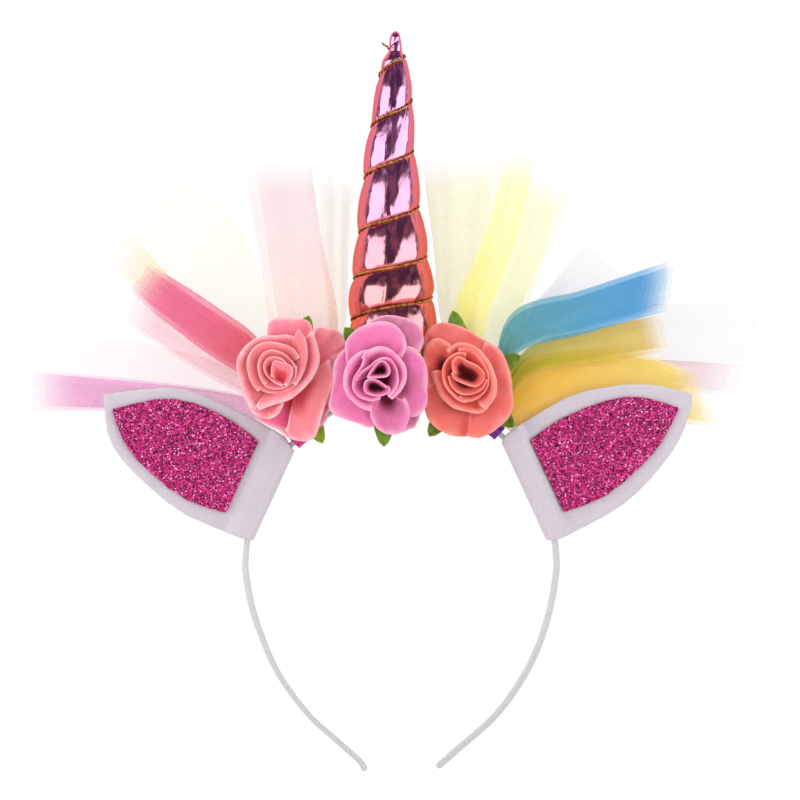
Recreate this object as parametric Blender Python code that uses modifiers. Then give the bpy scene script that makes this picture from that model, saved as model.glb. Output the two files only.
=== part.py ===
"""A unicorn horn headband: satin band, padded foil horn with a gold cord, felt ears, roses and tulle.

Metres, +Z up, front towards -Y. The origin is the middle of the band's underside, where it sits on a head.
Lengths in the tables are millimetres, and every point is worked out from them by the functions below.
"""

import math

import bmesh
import bpy
from mathutils import Matrix, Vector

MM = 0.001
GAP = 0.3

# The band: a half ellipse over the head, then two legs that bend in behind the ears.
BAND_WIDTH = 7.0
BAND_THICKNESS = 2.2
BAND_EDGE = 0.6
ARCH_HALF_SPAN = 62.3
ARCH_HEIGHT = 70.1
ARCH_CENTRE_Z = BAND_THICKNESS / 2 - ARCH_HEIGHT
ARCH_STEPS = 18
LEG_STEPS = 9
RIGHT_LEG_TWIST = 7.0
# Columns: x, z of each leg's centre line, from the ellipse's end to the tip.
LEFT_LEG = ((-60.4, -80.5), (-56.8, -93.0), (-49.2, -110.4), (-37.2, -126.8), (-26.0, -137.1),
            (-16.8, -145.4), (-14.2, -149.4))
RIGHT_LEG = ((60.0, -83.0), (55.0, -99.6), (47.2, -114.8), (36.8, -128.4), (22.8, -140.8), (15.6, -147.0))

# The horn: padded foil drawn in by a cord that winds round it.
HORN_AXIS_BASE = (-3.0, 3.0)
HORN_AXIS_TIP = (-2.0, 1.5)
HORN_TIP = 146.4
HORN_FOOT = -4.0
HORN_SIDES = 14
ARCH_SPACE_SIDES = 96
HORN_ROWS = 5
GROOVE_DEPTH = 2.2
GROOVE_SHARE = 0.18
PUFF_FULLNESS = 0.75
# Columns: height where the cord crosses the front, radius of the padding half a turn above it.
HORN_TURNS = ((-24.0, 18.0), (-4.0, 18.2), (16.0, 18.0), (36.0, 17.2), (51.6, 14.8), (70.8, 12.2),
              (93.6, 9.6), (113.6, 7.4), (134.4, 3.2), (142.0, 1.9), (150.0, 0.0))
CORD_RADIUS = 0.6
CORD_LIFT = 0.15
CORD_FIRST_TURN = 1.5
CORD_LAST_TURN = 8.75
CORD_TAIL = ((-3.2, 1.2), (-4.6, 1.6))

# The ears: two plies of felt folded round the band, with a glitter panel on the front.
EAR_PLIES = 2.2
EAR_FOLD_HALF_DEPTH = 4.8
EAR_FOLD_ROUNDING = 1.4
EAR_LENGTH = 90.0
GLITTER_THICKNESS = 1.0
OUTLINE_STEPS = 2
# Each ear: its outline as edges that meet at corners, x and z of each point. The second edge, at the fold,
# is straight between its points. The felt stays folded round the band as far as fold_reach, and its plies
# meet at flat_from.
EARS = {
    "left": {
        "fold": ((-42.6, -21.6), (-59.2, -57.6)),
        "fold_reach": 7.8,
        "flat_from": 12.2,
        "felt": (
            ((-119.2, 1.2), (-92.8, 4.0), (-78.4, 0.4), (-56.8, -9.6), (-46.4, -16.0)),
            ((-46.4, -16.0), (-42.6, -21.6), (-59.2, -57.6), (-64.0, -56.4)),
            ((-64.0, -56.4), (-85.6, -47.6), (-100.0, -36.8), (-112.0, -24.8), (-117.6, -14.0),
             (-119.2, 1.2)),
        ),
        "glitter": (
            ((-115.6, -5.0), (-97.6, -0.8), (-82.8, -2.4), (-67.6, -9.6), (-57.0, -17.8)),
            ((-57.0, -17.8), (-70.0, -46.4)),
            ((-70.0, -46.4), (-85.6, -41.2), (-100.0, -30.4), (-110.4, -18.8), (-115.6, -5.0)),
        ),
    },
    "right": {
        "fold": ((40.1, -17.9), (58.1, -57.1)),
        "fold_reach": 8.4,
        "flat_from": 10.6,
        "felt": (
            ((116.6, 1.2), (103.0, 4.8), (92.4, 5.2), (81.6, 4.0), (67.2, 0.4), (49.6, -9.6),
             (40.8, -16.0)),
            ((40.8, -16.0), (40.1, -17.9), (58.1, -57.1), (61.6, -57.6)),
            ((61.6, -57.6), (74.4, -51.6), (88.8, -43.2), (99.6, -33.2), (108.8, -21.6),
             (113.6, -12.4), (116.6, -1.6)),
        ),
        "glitter": (
            ((111.2, -4.4), (96.0, 0.0), (81.6, -1.6), (63.6, -8.8), (51.6, -17.2)),
            ((51.6, -17.2), (65.2, -46.0)),
            ((65.2, -46.0), (81.6, -39.6), (96.0, -27.6), (104.4, -17.6), (111.2, -4.4)),
        ),
    },
}

# The roses: four nested whorls each, open towards the front, on a flat green calyx.
PETAL_THICKNESS = 1.0
RIM_CURL = 0.12
RIM_WAVES = 3
RIM_WAVE = 0.06
RIM_WAVE_START = 40
CALYX_THICKNESS = 0.8
CALYX_HUB = 6.0
CALYX_SIDES = 60
LEAF_HALF_WIDTH = 17.0
SIDE_ROSE_BACK = -6.0
CENTRE_ROSE_BACK = -15.4
LEAN_PIVOT = 8.0
# Columns: whorl, sides, rings, base above the back, height, steepness.
WHORLS = (("outer", 28, 4, 2.2, 8.0, 1.8), ("middle", 20, 4, 3.9, 10.5, 2.6),
          ("inner", 16, 4, 5.6, 10.5, 3.0), ("bud", 12, 3, 7.2, 9.0, 2.4))
# Petals: direction in degrees, half width in degrees, reach; leaves: direction, reach.
ROSES = {
    "left": {
        "centre": (-44.4, 7.6), "back": SIDE_ROSE_BACK, "lean": (-0.70, 0.30), "notch": 16.5,
        "petals": ((90, 24, 24.8), (38, 22, 26.5), (-68, 32, 26.0), (-122, 34, 21.5), (155, 44, 21.8)),
        "radii": {"middle": 14.8, "inner": 9.6, "bud": 4.6},
        "leaves": ((68, 24.6), (-58, 26.2), (140, 16.0), (-150, 15.0), (5, 15.0)),
    },
    "centre": {
        "centre": (-8.4, 8.4), "back": CENTRE_ROSE_BACK, "lean": (-0.25, -0.10), "notch": 16.5,
        "petals": ((68, 40, 25.2), (127, 30, 19.8), (165, 24, 18.5), (218, 30, 24.6), (-80, 26, 24.2),
                   (-48, 24, 22.6), (0, 40, 18.8)),
        "radii": {"middle": 12.0, "inner": 8.2, "bud": 4.4},
        "leaves": ((126, 20.8), (-88, 25.0), (195, 16.0), (20, 14.0), (60, 16.0)),
    },
    "right": {
        "centre": (26.8, 6.4), "back": SIDE_ROSE_BACK, "lean": (-0.20, 0.20), "notch": 16.0,
        "petals": ((118, 30, 27.0), (65, 36, 19.8), (5, 40, 18.4), (-38, 28, 21.8), (-85, 36, 23.6),
                   (-130, 32, 22.6), (172, 34, 18.0)),
        "radii": {"middle": 12.8, "inner": 8.0, "bud": 4.3},
        "leaves": ((102, 26.0), (27, 20.6), (-127, 24.2), (-53, 25.0)),
    },
}

# The tulle: a ring gathered round the band at each side, and strips that fan out above it.
WRAP_WALL = 1.7
WRAP_SIDES = 12
WRAP_SECTIONS = 3
WRAP_CLEARANCE = 0.6
WRAP_SQUARENESS = 0.6
WRAPS = {"left": (-43.0, -32.5), "right": (31.2, 39.5)}
ROOT_LINES = {"left": (-40.5, -32.0), "right": (39.0, 31.5)}
TULLE_THICKNESS = 1.0
TULLE_FRONT = -3.1
LAYER_STEP = 1.36
LAYER_SPREAD = 0.02
FAN_LEAN = 0.03
PLEAT_RISE = 0.007
TULLE_LENGTHS = 6
TULLE_PLEATS = 4
# Columns: strip, layer from the front, start and end on the root line, then x, z of the lower and the
# upper side at the neck, at the waist and at the cut end.
TULLE = {
    "left": (
        ("lilac", 3, 0.0, 0.4, (-62, -9), (-62, 0.5), (-100, -6), (-98, 6), (-148.4, -5.2), (-149.2, 11.2)),
        ("blush", 4, 0.05, 0.5, (-62, -2), (-60, 8), (-98, 5), (-95, 20), (-140, 11), (-139, 26)),
        ("pink", 2, 0.1, 0.5, (-62, 0), (-60, 9), (-84, 12), (-80, 22), (-112, 31.2), (-110, 41)),
        ("rose", 1, 0.15, 0.6, (-60, 6), (-56, 22), (-80, 19), (-73, 35.5), (-109.6, 42), (-101, 53.5)),
        ("straw", 5, 0.2, 0.6, (-62, 9), (-58, 20), (-88, 28), (-82, 38), (-119.2, 54.4), (-110, 66)),
        ("cream", 6, 0.2, 0.8, (-60, 14), (-51, 33), (-88, 38), (-65.2, 68.8), (-116.4, 62.8), (-90, 93.6)),
        ("peach", 0, 0.3, 1.0, (-51.5, 24), (-25, 28), (-56.8, 59.2), (-32, 64.4), (-62.8, 93.6),
         (-36.4, 93.6)),
        ("ivory", 7, 0.6, 1.0, (-30, 24), (-22.5, 26), (-33, 60), (-20.5, 60), (-34, 92.8), (-18.5, 88.8)),
    ),
    "right": (
        ("yellow", 0, 0.4, 1.0, (35.5, 26), (22.5, 30), (46, 63.6), (31.6, 63.6), (54.4, 96.4), (46.8, 97.2)),
        ("cream", 4, 0.5, 1.0, (30, 26), (17, 26), (38, 62), (12.8, 63.6), (41.6, 96.8), (8.4, 96.8)),
        ("lemon", 5, 0.3, 0.8, (46, 26), (36, 28), (55.6, 58), (47, 60), (67.6, 82), (55.2, 89.2)),
        ("white", 6, 0.2, 0.6, (54, 22), (48, 30), (73, 37), (61.2, 45.6), (92, 50), (75, 64)),
        ("blue", 1, 0.1, 0.7, (43.6, 15.6), (37, 26.5), (74, 25.5), (72, 39.5), (106, 36), (107.5, 54.5)),
        ("lime", 2, 0.05, 0.6, (50, 8), (50, 19), (80, 14), (76, 27), (108.4, 18.4), (104, 33)),
        ("gold", 3, 0.0, 0.4, (52, -4), (52, 13), (85, 0), (85, 20), (128, -10), (118, 9)),
        ("ice", 8, 0.1, 0.6, (56, 6), (54, 20), (92, 10), (90, 36), (141.2, 15.2), (145.6, 37.2)),
        ("lilac", 7, 0.05, 0.5, (56, 0), (56, 9), (92, 3), (90, 15), (134.4, 0.4), (139, 13)),
    ),
}

# Colours are linear red, green, blue, then roughness and metallic.
COLOURS = {
    "satin": ((0.80, 0.76, 0.78), 0.35, 0.0),
    "felt": ((0.80, 0.76, 0.86), 0.90, 0.0),
    "glitter": ((0.40, 0.02, 0.14), 0.35, 0.4),
    "foil": ((0.62, 0.22, 0.42), 0.15, 1.0),
    "gold": ((0.60, 0.32, 0.08), 0.40, 0.8),
    "rose_left": ((0.85, 0.18, 0.18), 0.70, 0.0),
    "rose_centre": ((0.75, 0.13, 0.42), 0.70, 0.0),
    "rose_right": ((0.82, 0.12, 0.08), 0.70, 0.0),
    "leaf": ((0.16, 0.32, 0.03), 0.70, 0.0),
    "wrap_left": ((0.80, 0.10, 0.42), 0.80, 0.0),
    "wrap_right": ((0.30, 0.06, 0.42), 0.80, 0.0),
    "tulle_lilac": ((0.85, 0.55, 0.78), 0.80, 0.0),
    "tulle_blush": ((0.92, 0.82, 0.85), 0.80, 0.0),
    "tulle_pink": ((0.92, 0.62, 0.64), 0.80, 0.0),
    "tulle_rose": ((0.85, 0.22, 0.28), 0.80, 0.0),
    "tulle_straw": ((0.90, 0.84, 0.62), 0.80, 0.0),
    "tulle_cream": ((0.93, 0.90, 0.76), 0.80, 0.0),
    "tulle_peach": ((0.92, 0.76, 0.70), 0.80, 0.0),
    "tulle_ivory": ((0.93, 0.91, 0.82), 0.80, 0.0),
    "tulle_yellow": ((0.88, 0.80, 0.25), 0.80, 0.0),
    "tulle_lemon": ((0.91, 0.86, 0.50), 0.80, 0.0),
    "tulle_white": ((0.90, 0.90, 0.92), 0.80, 0.0),
    "tulle_blue": ((0.10, 0.38, 0.62), 0.80, 0.0),
    "tulle_lime": ((0.72, 0.76, 0.25), 0.80, 0.0),
    "tulle_gold": ((0.88, 0.62, 0.12), 0.80, 0.0),
    "tulle_ice": ((0.92, 0.91, 0.94), 0.80, 0.0),
}


def clear_scene():
    for obj in list(bpy.data.objects):
        bpy.data.objects.remove(obj, do_unlink=True)


def make_collection(name):
    collection = bpy.data.collections.new(name)
    bpy.context.scene.collection.children.link(collection)
    return collection


def make_material(name):
    colour, roughness, metallic = COLOURS[name]
    material = bpy.data.materials.new(name)
    material.use_nodes = True
    shader = material.node_tree.nodes["Principled BSDF"]
    shader.inputs["Base Color"].default_value = (*colour, 1.0)
    shader.inputs["Roughness"].default_value = roughness
    shader.inputs["Metallic"].default_value = metallic
    material.diffuse_color = (*colour, 1.0)
    return material


def blend(a, b, share):
    return a + (b - a) * share


def smooth_path(points, steps):
    """Points along a Catmull-Rom curve through the given points, with so many steps between each two."""
    ends = [points[0] * 2 - points[1], *points, points[-1] * 2 - points[-2]]
    path = []
    for before, start, end, after in zip(ends, ends[1:], ends[2:], ends[3:]):
        for step in range(steps):
            t = step / steps
            path.append(0.5 * (2 * start + (end - before) * t
                               + (2 * before - 5 * start + 4 * end - after) * t ** 2
                               + (3 * start - before - 3 * end + after) * t ** 3))
    return [*path, points[-1].copy()]


def link_mesh(name, bm, collection):
    mesh = bpy.data.meshes.new(name)
    bm.to_mesh(mesh)
    bm.free()
    obj = bpy.data.objects.new(name, mesh)
    collection.objects.link(obj)
    return obj


def mapped_grid(name, columns, rows, place, collection, closed=False):
    """A grid whose vertices go where place(across, along) says, with doubled points merged."""
    bm = bmesh.new()
    bmesh.ops.create_grid(bm, x_segments=columns, y_segments=rows, size=1.0)
    for vertex in bm.verts:
        vertex.co = place((vertex.co.x + 1) / 2, (vertex.co.y + 1) / 2) * MM
    bmesh.ops.remove_doubles(bm, verts=bm.verts, dist=0.02 * MM)
    if closed:
        bmesh.ops.holes_fill(bm, edges=[edge for edge in bm.edges if edge.is_boundary], sides=0)
        bmesh.ops.recalc_face_normals(bm, faces=bm.faces)
    return link_mesh(name, bm, collection)


def flat_solid(name, outline, half_thickness, matrix, collection):
    """A closed outline in the local XY plane, filled and thickened along local Z."""
    data = bpy.data.curves.new(name, "CURVE")
    data.dimensions = "2D"
    data.fill_mode = "BOTH"
    data.extrude = half_thickness * MM
    spline = data.splines.new("POLY")
    spline.points.add(len(outline) - 1)
    for point, (x, y) in zip(spline.points, outline):
        point.co = (x * MM, y * MM, 0.0, 1.0)
    spline.use_cyclic_u = True
    curve = bpy.data.objects.new(name + "_outline", data)
    collection.objects.link(curve)
    bpy.context.view_layer.update()
    mesh = bpy.data.meshes.new_from_object(curve.evaluated_get(bpy.context.evaluated_depsgraph_get()))
    bpy.data.objects.remove(curve, do_unlink=True)
    bm = bmesh.new()
    bm.from_mesh(mesh)
    bmesh.ops.remove_doubles(bm, verts=bm.verts, dist=0.01 * MM)
    bmesh.ops.recalc_face_normals(bm, faces=bm.faces)
    bm.to_mesh(mesh)
    bm.free()
    mesh.transform(matrix)
    if matrix.determinant() < 0:
        mesh.flip_normals()
    obj = bpy.data.objects.new(name, mesh)
    collection.objects.link(obj)
    return obj


def upright(y):
    """The matrix that stands a flat solid up in the frontal plane, its middle at this depth."""
    return Matrix.Translation((0, y * MM, 0)) @ Matrix.Rotation(math.radians(90), 4, "X")


def thicken(obj, thickness, offset):
    solidify = obj.modifiers.new("wall", "SOLIDIFY")
    solidify.thickness = thickness * MM
    solidify.offset = offset
    solidify.use_even_offset = False


def boolean(obj, cutter, operation):
    modifier = obj.modifiers.new(cutter.name, "BOOLEAN")
    modifier.object = cutter
    modifier.operation = operation
    modifier.solver = "EXACT"


def hide_cutter(obj):
    obj.hide_render = True
    obj.display_type = "WIRE"


def arch(x, outward=0.0):
    """The point of the band's upper arch at this x, moved outward along its normal, and the tangent."""
    rise = math.sqrt(1 - (x / ARCH_HALF_SPAN) ** 2)
    point = Vector((x, 0, ARCH_CENTRE_Z + ARCH_HEIGHT * rise))
    normal = Vector((x / ARCH_HALF_SPAN ** 2, 0, rise / ARCH_HEIGHT)).normalized()
    tangent = Vector((normal.z, 0, -normal.x))
    return point + normal * outward, normal, tangent


def band_path():
    """The centre line from the left tip over the head to the right tip, and where the right leg starts."""
    over = []
    for step in range(ARCH_STEPS + 1):
        angle = math.pi * (step / ARCH_STEPS - 0.5)
        over.append(Vector((ARCH_HALF_SPAN * math.sin(angle), 0,
                            ARCH_CENTRE_Z + ARCH_HEIGHT * math.cos(angle))))
    legs = []
    for rows, start in ((LEFT_LEG, over[0]), (RIGHT_LEG, over[-1])):
        curve = smooth_path([start, *(Vector((x, 0, z)) for x, z in rows)], 3)
        picks = [round(k * (len(curve) - 1) / LEG_STEPS) for k in range(1, LEG_STEPS + 1)]
        legs.append([curve[k] for k in picks])
    return legs[0][::-1] + over + legs[1], len(legs[0]) + len(over)


def band_strip(name, half_width, collection):
    """The band's middle surface: a strip as wide as the band along its centre line."""
    path, right_leg = band_path()
    last = len(path) - 1

    def place(across, along):
        index = round(along * last)
        tangent = (path[min(index + 1, last)] - path[max(index - 1, 0)]).normalized()
        normal = Vector((-tangent.z, 0, tangent.x))
        share = max(0, index - right_leg) / (last - right_leg)
        twist = math.radians(RIGHT_LEG_TWIST) * math.sin(math.pi * min(1.0, share))
        side = Vector((0, math.cos(twist), 0)) + normal * math.sin(twist)
        return path[index] + side * half_width * (2 * across - 1)

    return mapped_grid(name, 1, last, place, collection)


def make_band(parts, cutters):
    band = band_strip("band", BAND_WIDTH / 2, parts)
    thicken(band, BAND_THICKNESS, 0.0)
    bevel = band.modifiers.new("rounded_edges", "BEVEL")
    bevel.width = BAND_EDGE * MM
    bevel.segments = 1
    bevel.limit_method = "ANGLE"
    bevel.angle_limit = math.radians(50)
    clearance = band_strip("band_clearance", BAND_WIDTH / 2 + GAP, cutters)
    thicken(clearance, BAND_THICKNESS + 2 * GAP, 0.0)
    hide_cutter(clearance)
    return band, clearance


def horn_height(turn):
    """The height of the cord after so many turns, with whole turns at the front."""
    turn = min(max(turn, 0.0), len(HORN_TURNS) - 1.001)
    first = int(turn)
    return blend(HORN_TURNS[first][0], HORN_TURNS[first + 1][0], turn - first)


def horn_radius(turn):
    """The padding's radius at this turn, between the middles of the turns in the table."""
    place = min(max(turn - 0.5, 0.0), len(HORN_TURNS) - 1.001)
    first = int(place)
    return blend(HORN_TURNS[first][1], HORN_TURNS[first + 1][1], place - first)


def horn_point(turn, around, radius):
    """A point at this height turn and share of a turn from the front towards +X."""
    height = min(horn_height(turn), HORN_TIP)
    share = max(0.0, height) / HORN_TIP
    x = blend(HORN_AXIS_BASE[0], HORN_AXIS_TIP[0], share)
    y = blend(HORN_AXIS_BASE[1], HORN_AXIS_TIP[1], share)
    angle = 2 * math.pi * around
    return Vector((x + radius * math.sin(angle), y - radius * math.cos(angle), height))


def groove_depth(turn):
    return min(GROOVE_DEPTH, GROOVE_SHARE * horn_radius(turn))


def make_arch_space(cutters):
    """What lies under the band's outer face, from which the horn's foot is kept clear."""
    outward = BAND_THICKNESS / 2 + GAP
    ellipse = []
    for step in range(ARCH_SPACE_SIDES):
        angle = 2 * math.pi * step / ARCH_SPACE_SIDES
        ellipse.append((math.cos(angle) * (ARCH_HALF_SPAN + outward),
                        math.sin(angle) * (ARCH_HEIGHT + outward) + ARCH_CENTRE_Z))
    arch_space = flat_solid("arch_space", ellipse, ARCH_HALF_SPAN, upright(0), cutters)
    hide_cutter(arch_space)
    return arch_space


def make_horn(parts, arch_space):
    turns = len(HORN_TURNS) - 1

    def place(across, along):
        phase = along * turns
        turn = phase + across
        if horn_height(turn) >= HORN_TIP:
            return horn_point(turn, across, 0.0)
        puff = abs(math.sin(math.pi * phase)) ** PUFF_FULLNESS
        radius = horn_radius(turn) - groove_depth(turn) * (1 - puff)
        return horn_point(turn, across, radius)

    horn = mapped_grid("horn", HORN_SIDES, turns * HORN_ROWS, place, parts)
    bm = bmesh.new()
    bm.from_mesh(horn.data)
    floor = bmesh.ops.bisect_plane(bm, geom=[*bm.verts, *bm.edges, *bm.faces], plane_co=(0, 0, HORN_FOOT * MM),
                                   plane_no=(0, 0, -1), clear_outer=True)
    rim = [item for item in floor["geom_cut"] if isinstance(item, bmesh.types.BMEdge)]
    bmesh.ops.holes_fill(bm, edges=rim, sides=0)
    bmesh.ops.triangulate(bm, faces=[face for face in bm.faces if len(face.verts) > 4])
    bmesh.ops.recalc_face_normals(bm, faces=bm.faces)
    bm.to_mesh(horn.data)
    bm.free()
    boolean(horn, arch_space, "DIFFERENCE")
    return horn


def make_cord(parts):
    """The gold cord in the horn's groove, from behind its foot to a loose end beside the tip."""
    count = round((CORD_LAST_TURN - CORD_FIRST_TURN) * HORN_SIDES)
    points = []
    for step in range(count + 1):
        turn = CORD_FIRST_TURN + step / HORN_SIDES
        radius = horn_radius(turn) - groove_depth(turn) + CORD_RADIUS + GAP + CORD_LIFT
        points.append(horn_point(turn, turn % 1.0, radius))
    points.extend(points[count] + Vector((x, 0, z)) for x, z in CORD_TAIL)
    data = bpy.data.curves.new("horn_cord", "CURVE")
    data.dimensions = "3D"
    data.bevel_depth = CORD_RADIUS * MM
    data.bevel_resolution = 2
    data.use_fill_caps = True
    spline = data.splines.new("POLY")
    spline.points.add(len(points) - 1)
    for target, point in zip(spline.points, points):
        target.co = (*(point * MM), 1.0)
    cord = bpy.data.objects.new("horn_cord", data)
    parts.objects.link(cord)
    return cord


def ear_outline(edges):
    outline = []
    for number, edge in enumerate(edges):
        points = [Vector(point) for point in edge]
        outline.extend(smooth_path(points, 1 if number == 1 else OUTLINE_STEPS)[:-1])
    if edges[-1][-1] != edges[0][0]:
        outline.append(Vector(edges[-1][-1]))
    return outline


def make_ear(side, parts, cutters, clearance):
    ear = EARS[side]
    felt = flat_solid(f"ear_felt_{side}", ear_outline(ear["felt"]), EAR_FOLD_HALF_DEPTH + 1, upright(0), parts)
    top, bottom = (Vector((x, 0, z)) for x, z in ear["fold"])
    along = (bottom - top).normalized()
    outward = Vector((along.z, 0, -along.x))
    if outward.x * top.x < 0:
        outward = -outward
    flat, deep = EAR_PLIES / 2, EAR_FOLD_HALF_DEPTH
    rounding = EAR_FOLD_ROUNDING
    front = ((-rounding, deep - 2 * rounding), (rounding, deep), (ear["fold_reach"], deep),
             (ear["flat_from"], flat), (EAR_LENGTH, flat))
    profile = [*front, *((reach, -depth) for reach, depth in reversed(front))]
    placed = Matrix((outward, Vector((0, 1, 0)), outward.cross(Vector((0, 1, 0))))).transposed().to_4x4()
    placed.translation = (top + bottom) / 2 * MM
    fold = flat_solid(f"ear_fold_{side}", profile, EAR_LENGTH, placed, cutters)
    hide_cutter(fold)
    boolean(felt, fold, "INTERSECT")
    boolean(felt, clearance, "DIFFERENCE")
    middle = -(EAR_PLIES + GLITTER_THICKNESS) / 2 - GAP
    glitter = flat_solid(f"ear_glitter_{side}", ear_outline(ear["glitter"]), GLITTER_THICKNESS / 2,
                         upright(middle), parts)
    return felt, glitter


def turned_away(angle, direction):
    return (angle - direction + 180) % 360 - 180


def petal_reach(rose, whorl, angle):
    """The whorl's rim radius in this direction, in degrees from +X towards +Z."""
    if whorl != "outer":
        wave = math.cos(math.radians(RIM_WAVES * (angle - RIM_WAVE_START)))
        return rose["radii"][whorl] * (1 + RIM_WAVE * wave)
    reach = rose["notch"]
    for direction, half_width, length in rose["petals"]:
        off = turned_away(angle, direction) / half_width
        if abs(off) < 1:
            reach = max(reach, rose["notch"] + (length - rose["notch"]) * math.sqrt(1 - off * off))
    return reach


def make_whorl(side, row, parts):
    whorl, sides, rings, base, height, steepness = row
    rose = ROSES[side]
    cx, cz = rose["centre"]

    def place(across, along):
        angle = 360 * across
        radius = petal_reach(rose, whorl, angle) * along
        out = base + height * ((1 + RIM_CURL) * along ** steepness - RIM_CURL * along ** 6)
        x = cx + radius * math.cos(math.radians(angle)) + rose["lean"][0] * (out - LEAN_PIVOT)
        z = cz + radius * math.sin(math.radians(angle)) + rose["lean"][1] * (out - LEAN_PIVOT)
        return Vector((x, rose["back"] - out, z))

    petals = mapped_grid(f"rose_{side}_{whorl}", sides, rings, place, parts)
    thicken(petals, PETAL_THICKNESS, 1.0)
    return petals


def make_calyx(side, parts):
    rose = ROSES[side]
    outline = []
    for step in range(CALYX_SIDES):
        angle = 360 * step / CALYX_SIDES
        reach = CALYX_HUB
        for direction, length in rose["leaves"]:
            off = abs(turned_away(angle, direction)) / LEAF_HALF_WIDTH
            if off < 1:
                reach = max(reach, CALYX_HUB + (length - CALYX_HUB) * (1 - off) ** 0.8)
        outline.append((rose["centre"][0] + reach * math.cos(math.radians(angle)),
                        rose["centre"][1] + reach * math.sin(math.radians(angle))))
    return flat_solid(f"calyx_{side}", outline, CALYX_THICKNESS / 2,
                      upright(rose["back"] - CALYX_THICKNESS / 2), parts)


def make_wrap(side, parts):
    """The tulle gathered round the band under a bunch of strips: a soft ring."""
    start, end = WRAPS[side]

    def rounded(value):
        return math.copysign(abs(value) ** WRAP_SQUARENESS, value)

    def place(around, along):
        point, normal, _ = arch(blend(start, end, along))
        angle = 2 * math.pi * around
        out = rounded(math.cos(angle)) * (BAND_THICKNESS / 2 + WRAP_CLEARANCE)
        deep = rounded(math.sin(angle)) * (BAND_WIDTH / 2 + WRAP_CLEARANCE)
        return point + normal * out + Vector((0, deep, 0))

    wrap = mapped_grid(f"tulle_wrap_{side}", WRAP_SIDES, WRAP_SECTIONS, place, parts)
    thicken(wrap, WRAP_WALL, -1.0)
    return wrap


def make_tulle(side, row, parts):
    name, layer, root_low, root_high, *edges = row
    root_start, root_end = ROOT_LINES[side]
    lift = BAND_THICKNESS / 2 + WRAP_CLEARANCE + WRAP_WALL + GAP
    centre = arch((root_start + root_end) / 2, lift)[0]
    sides = []
    for share, points in ((root_low, edges[0::2]), (root_high, edges[1::2])):
        root = arch(blend(root_start, root_end, share), lift)[0]
        sides.append(smooth_path([root, *(Vector((x, 0, z)) for x, z in points)], TULLE_LENGTHS // 3))
    last = len(sides[0]) - 1

    def place(across, along):
        index = round(along * last)
        point = blend(sides[0][index], sides[1][index], across)
        far = (point - centre).length
        pleat = math.cos(math.pi * TULLE_PLEATS * across) * PLEAT_RISE * far
        depth = TULLE_FRONT + layer * (LAYER_STEP + LAYER_SPREAD * far) + FAN_LEAN * far + pleat
        return point + Vector((0, depth, 0))

    strip = mapped_grid(f"tulle_{name}_{side}", TULLE_PLEATS, last, place, parts)
    thicken(strip, TULLE_THICKNESS, 0.0)
    return strip


def paint(obj, material):
    obj.data.materials.append(material)


def main():
    clear_scene()
    parts = make_collection("unicorn_horn_headband")
    cutters = make_collection("cutters")
    materials = {name: make_material(name) for name in COLOURS}

    band, clearance = make_band(parts, cutters)
    paint(band, materials["satin"])

    paint(make_horn(parts, make_arch_space(cutters)), materials["foil"])
    paint(make_cord(parts), materials["gold"])

    for side in EARS:
        felt, glitter = make_ear(side, parts, cutters, clearance)
        paint(felt, materials["felt"])
        paint(glitter, materials["glitter"])

    for side in ROSES:
        for row in WHORLS:
            paint(make_whorl(side, row, parts), materials[f"rose_{side}"])
        paint(make_calyx(side, parts), materials["leaf"])

    for side, rows in TULLE.items():
        paint(make_wrap(side, parts), materials[f"wrap_{side}"])
        for row in rows:
            paint(make_tulle(side, row, parts), materials[f"tulle_{row[0]}"])


main()
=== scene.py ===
# %% [markdown]
# # A unicorn horn headband
#
# The real thing is a party headband: a narrow band covered in white satin, a stuffed horn of pink foil wound with
# gold cord, two felt ears with glitter panels, three fabric roses and two fans of tulle. Every length below is in
# millimetres, and MM turns it into Blender's metres. X runs to the right, Z up along the horn, and the front is -Y.

# %% Load the frame
import math
import random

import bmesh
import bpy
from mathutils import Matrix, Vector, noise


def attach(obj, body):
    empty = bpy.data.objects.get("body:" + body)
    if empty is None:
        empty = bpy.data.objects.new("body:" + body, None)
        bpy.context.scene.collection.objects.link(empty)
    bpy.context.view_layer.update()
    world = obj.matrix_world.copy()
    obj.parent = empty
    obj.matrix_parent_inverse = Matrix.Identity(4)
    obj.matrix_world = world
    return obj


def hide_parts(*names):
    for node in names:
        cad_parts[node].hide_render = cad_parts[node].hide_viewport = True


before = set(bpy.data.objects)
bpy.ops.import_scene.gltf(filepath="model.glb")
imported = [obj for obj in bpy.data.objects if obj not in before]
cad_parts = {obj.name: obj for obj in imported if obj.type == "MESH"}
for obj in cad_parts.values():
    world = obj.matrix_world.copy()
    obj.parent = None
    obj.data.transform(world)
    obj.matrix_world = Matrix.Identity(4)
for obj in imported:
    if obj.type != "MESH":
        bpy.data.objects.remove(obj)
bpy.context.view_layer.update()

MM = 0.001
print("frame:", len(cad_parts), "nodes")

# %% [markdown]
# ## Camera, light and floor
#
# The picture was taken straight from the front with a long lens, so the camera looks along +Y and is far away. Cloth
# and foil need different light. Cloth gets two soft boxes and an even room. Foil is a mirror, and what shows on it is
# the room: so mirror rays see two bright cards left and right of a dark lens side, a dark ceiling and a white back
# wall, as a photographer would set them up round shiny things. The cards are bluish, because pink foil gives back
# white light as plain red. Light from the world could do all this alone, but the soft boxes give the cloth its
# shading. The floor is a pale disc below the tips.

# %% Camera
CAMERA_DISTANCE = 3.2
LENS = 360
PHOTO_CENTRE = (-0.0004, -0.0012)


def select_only(piece=None):
    """Deselects everything, then selects this piece and makes it the active one."""
    if bpy.context.mode != "OBJECT":
        bpy.ops.object.mode_set(mode="OBJECT")
    bpy.ops.object.select_all(action="DESELECT")
    if piece:
        piece.select_set(True)
        bpy.context.view_layer.objects.active = piece


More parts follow.
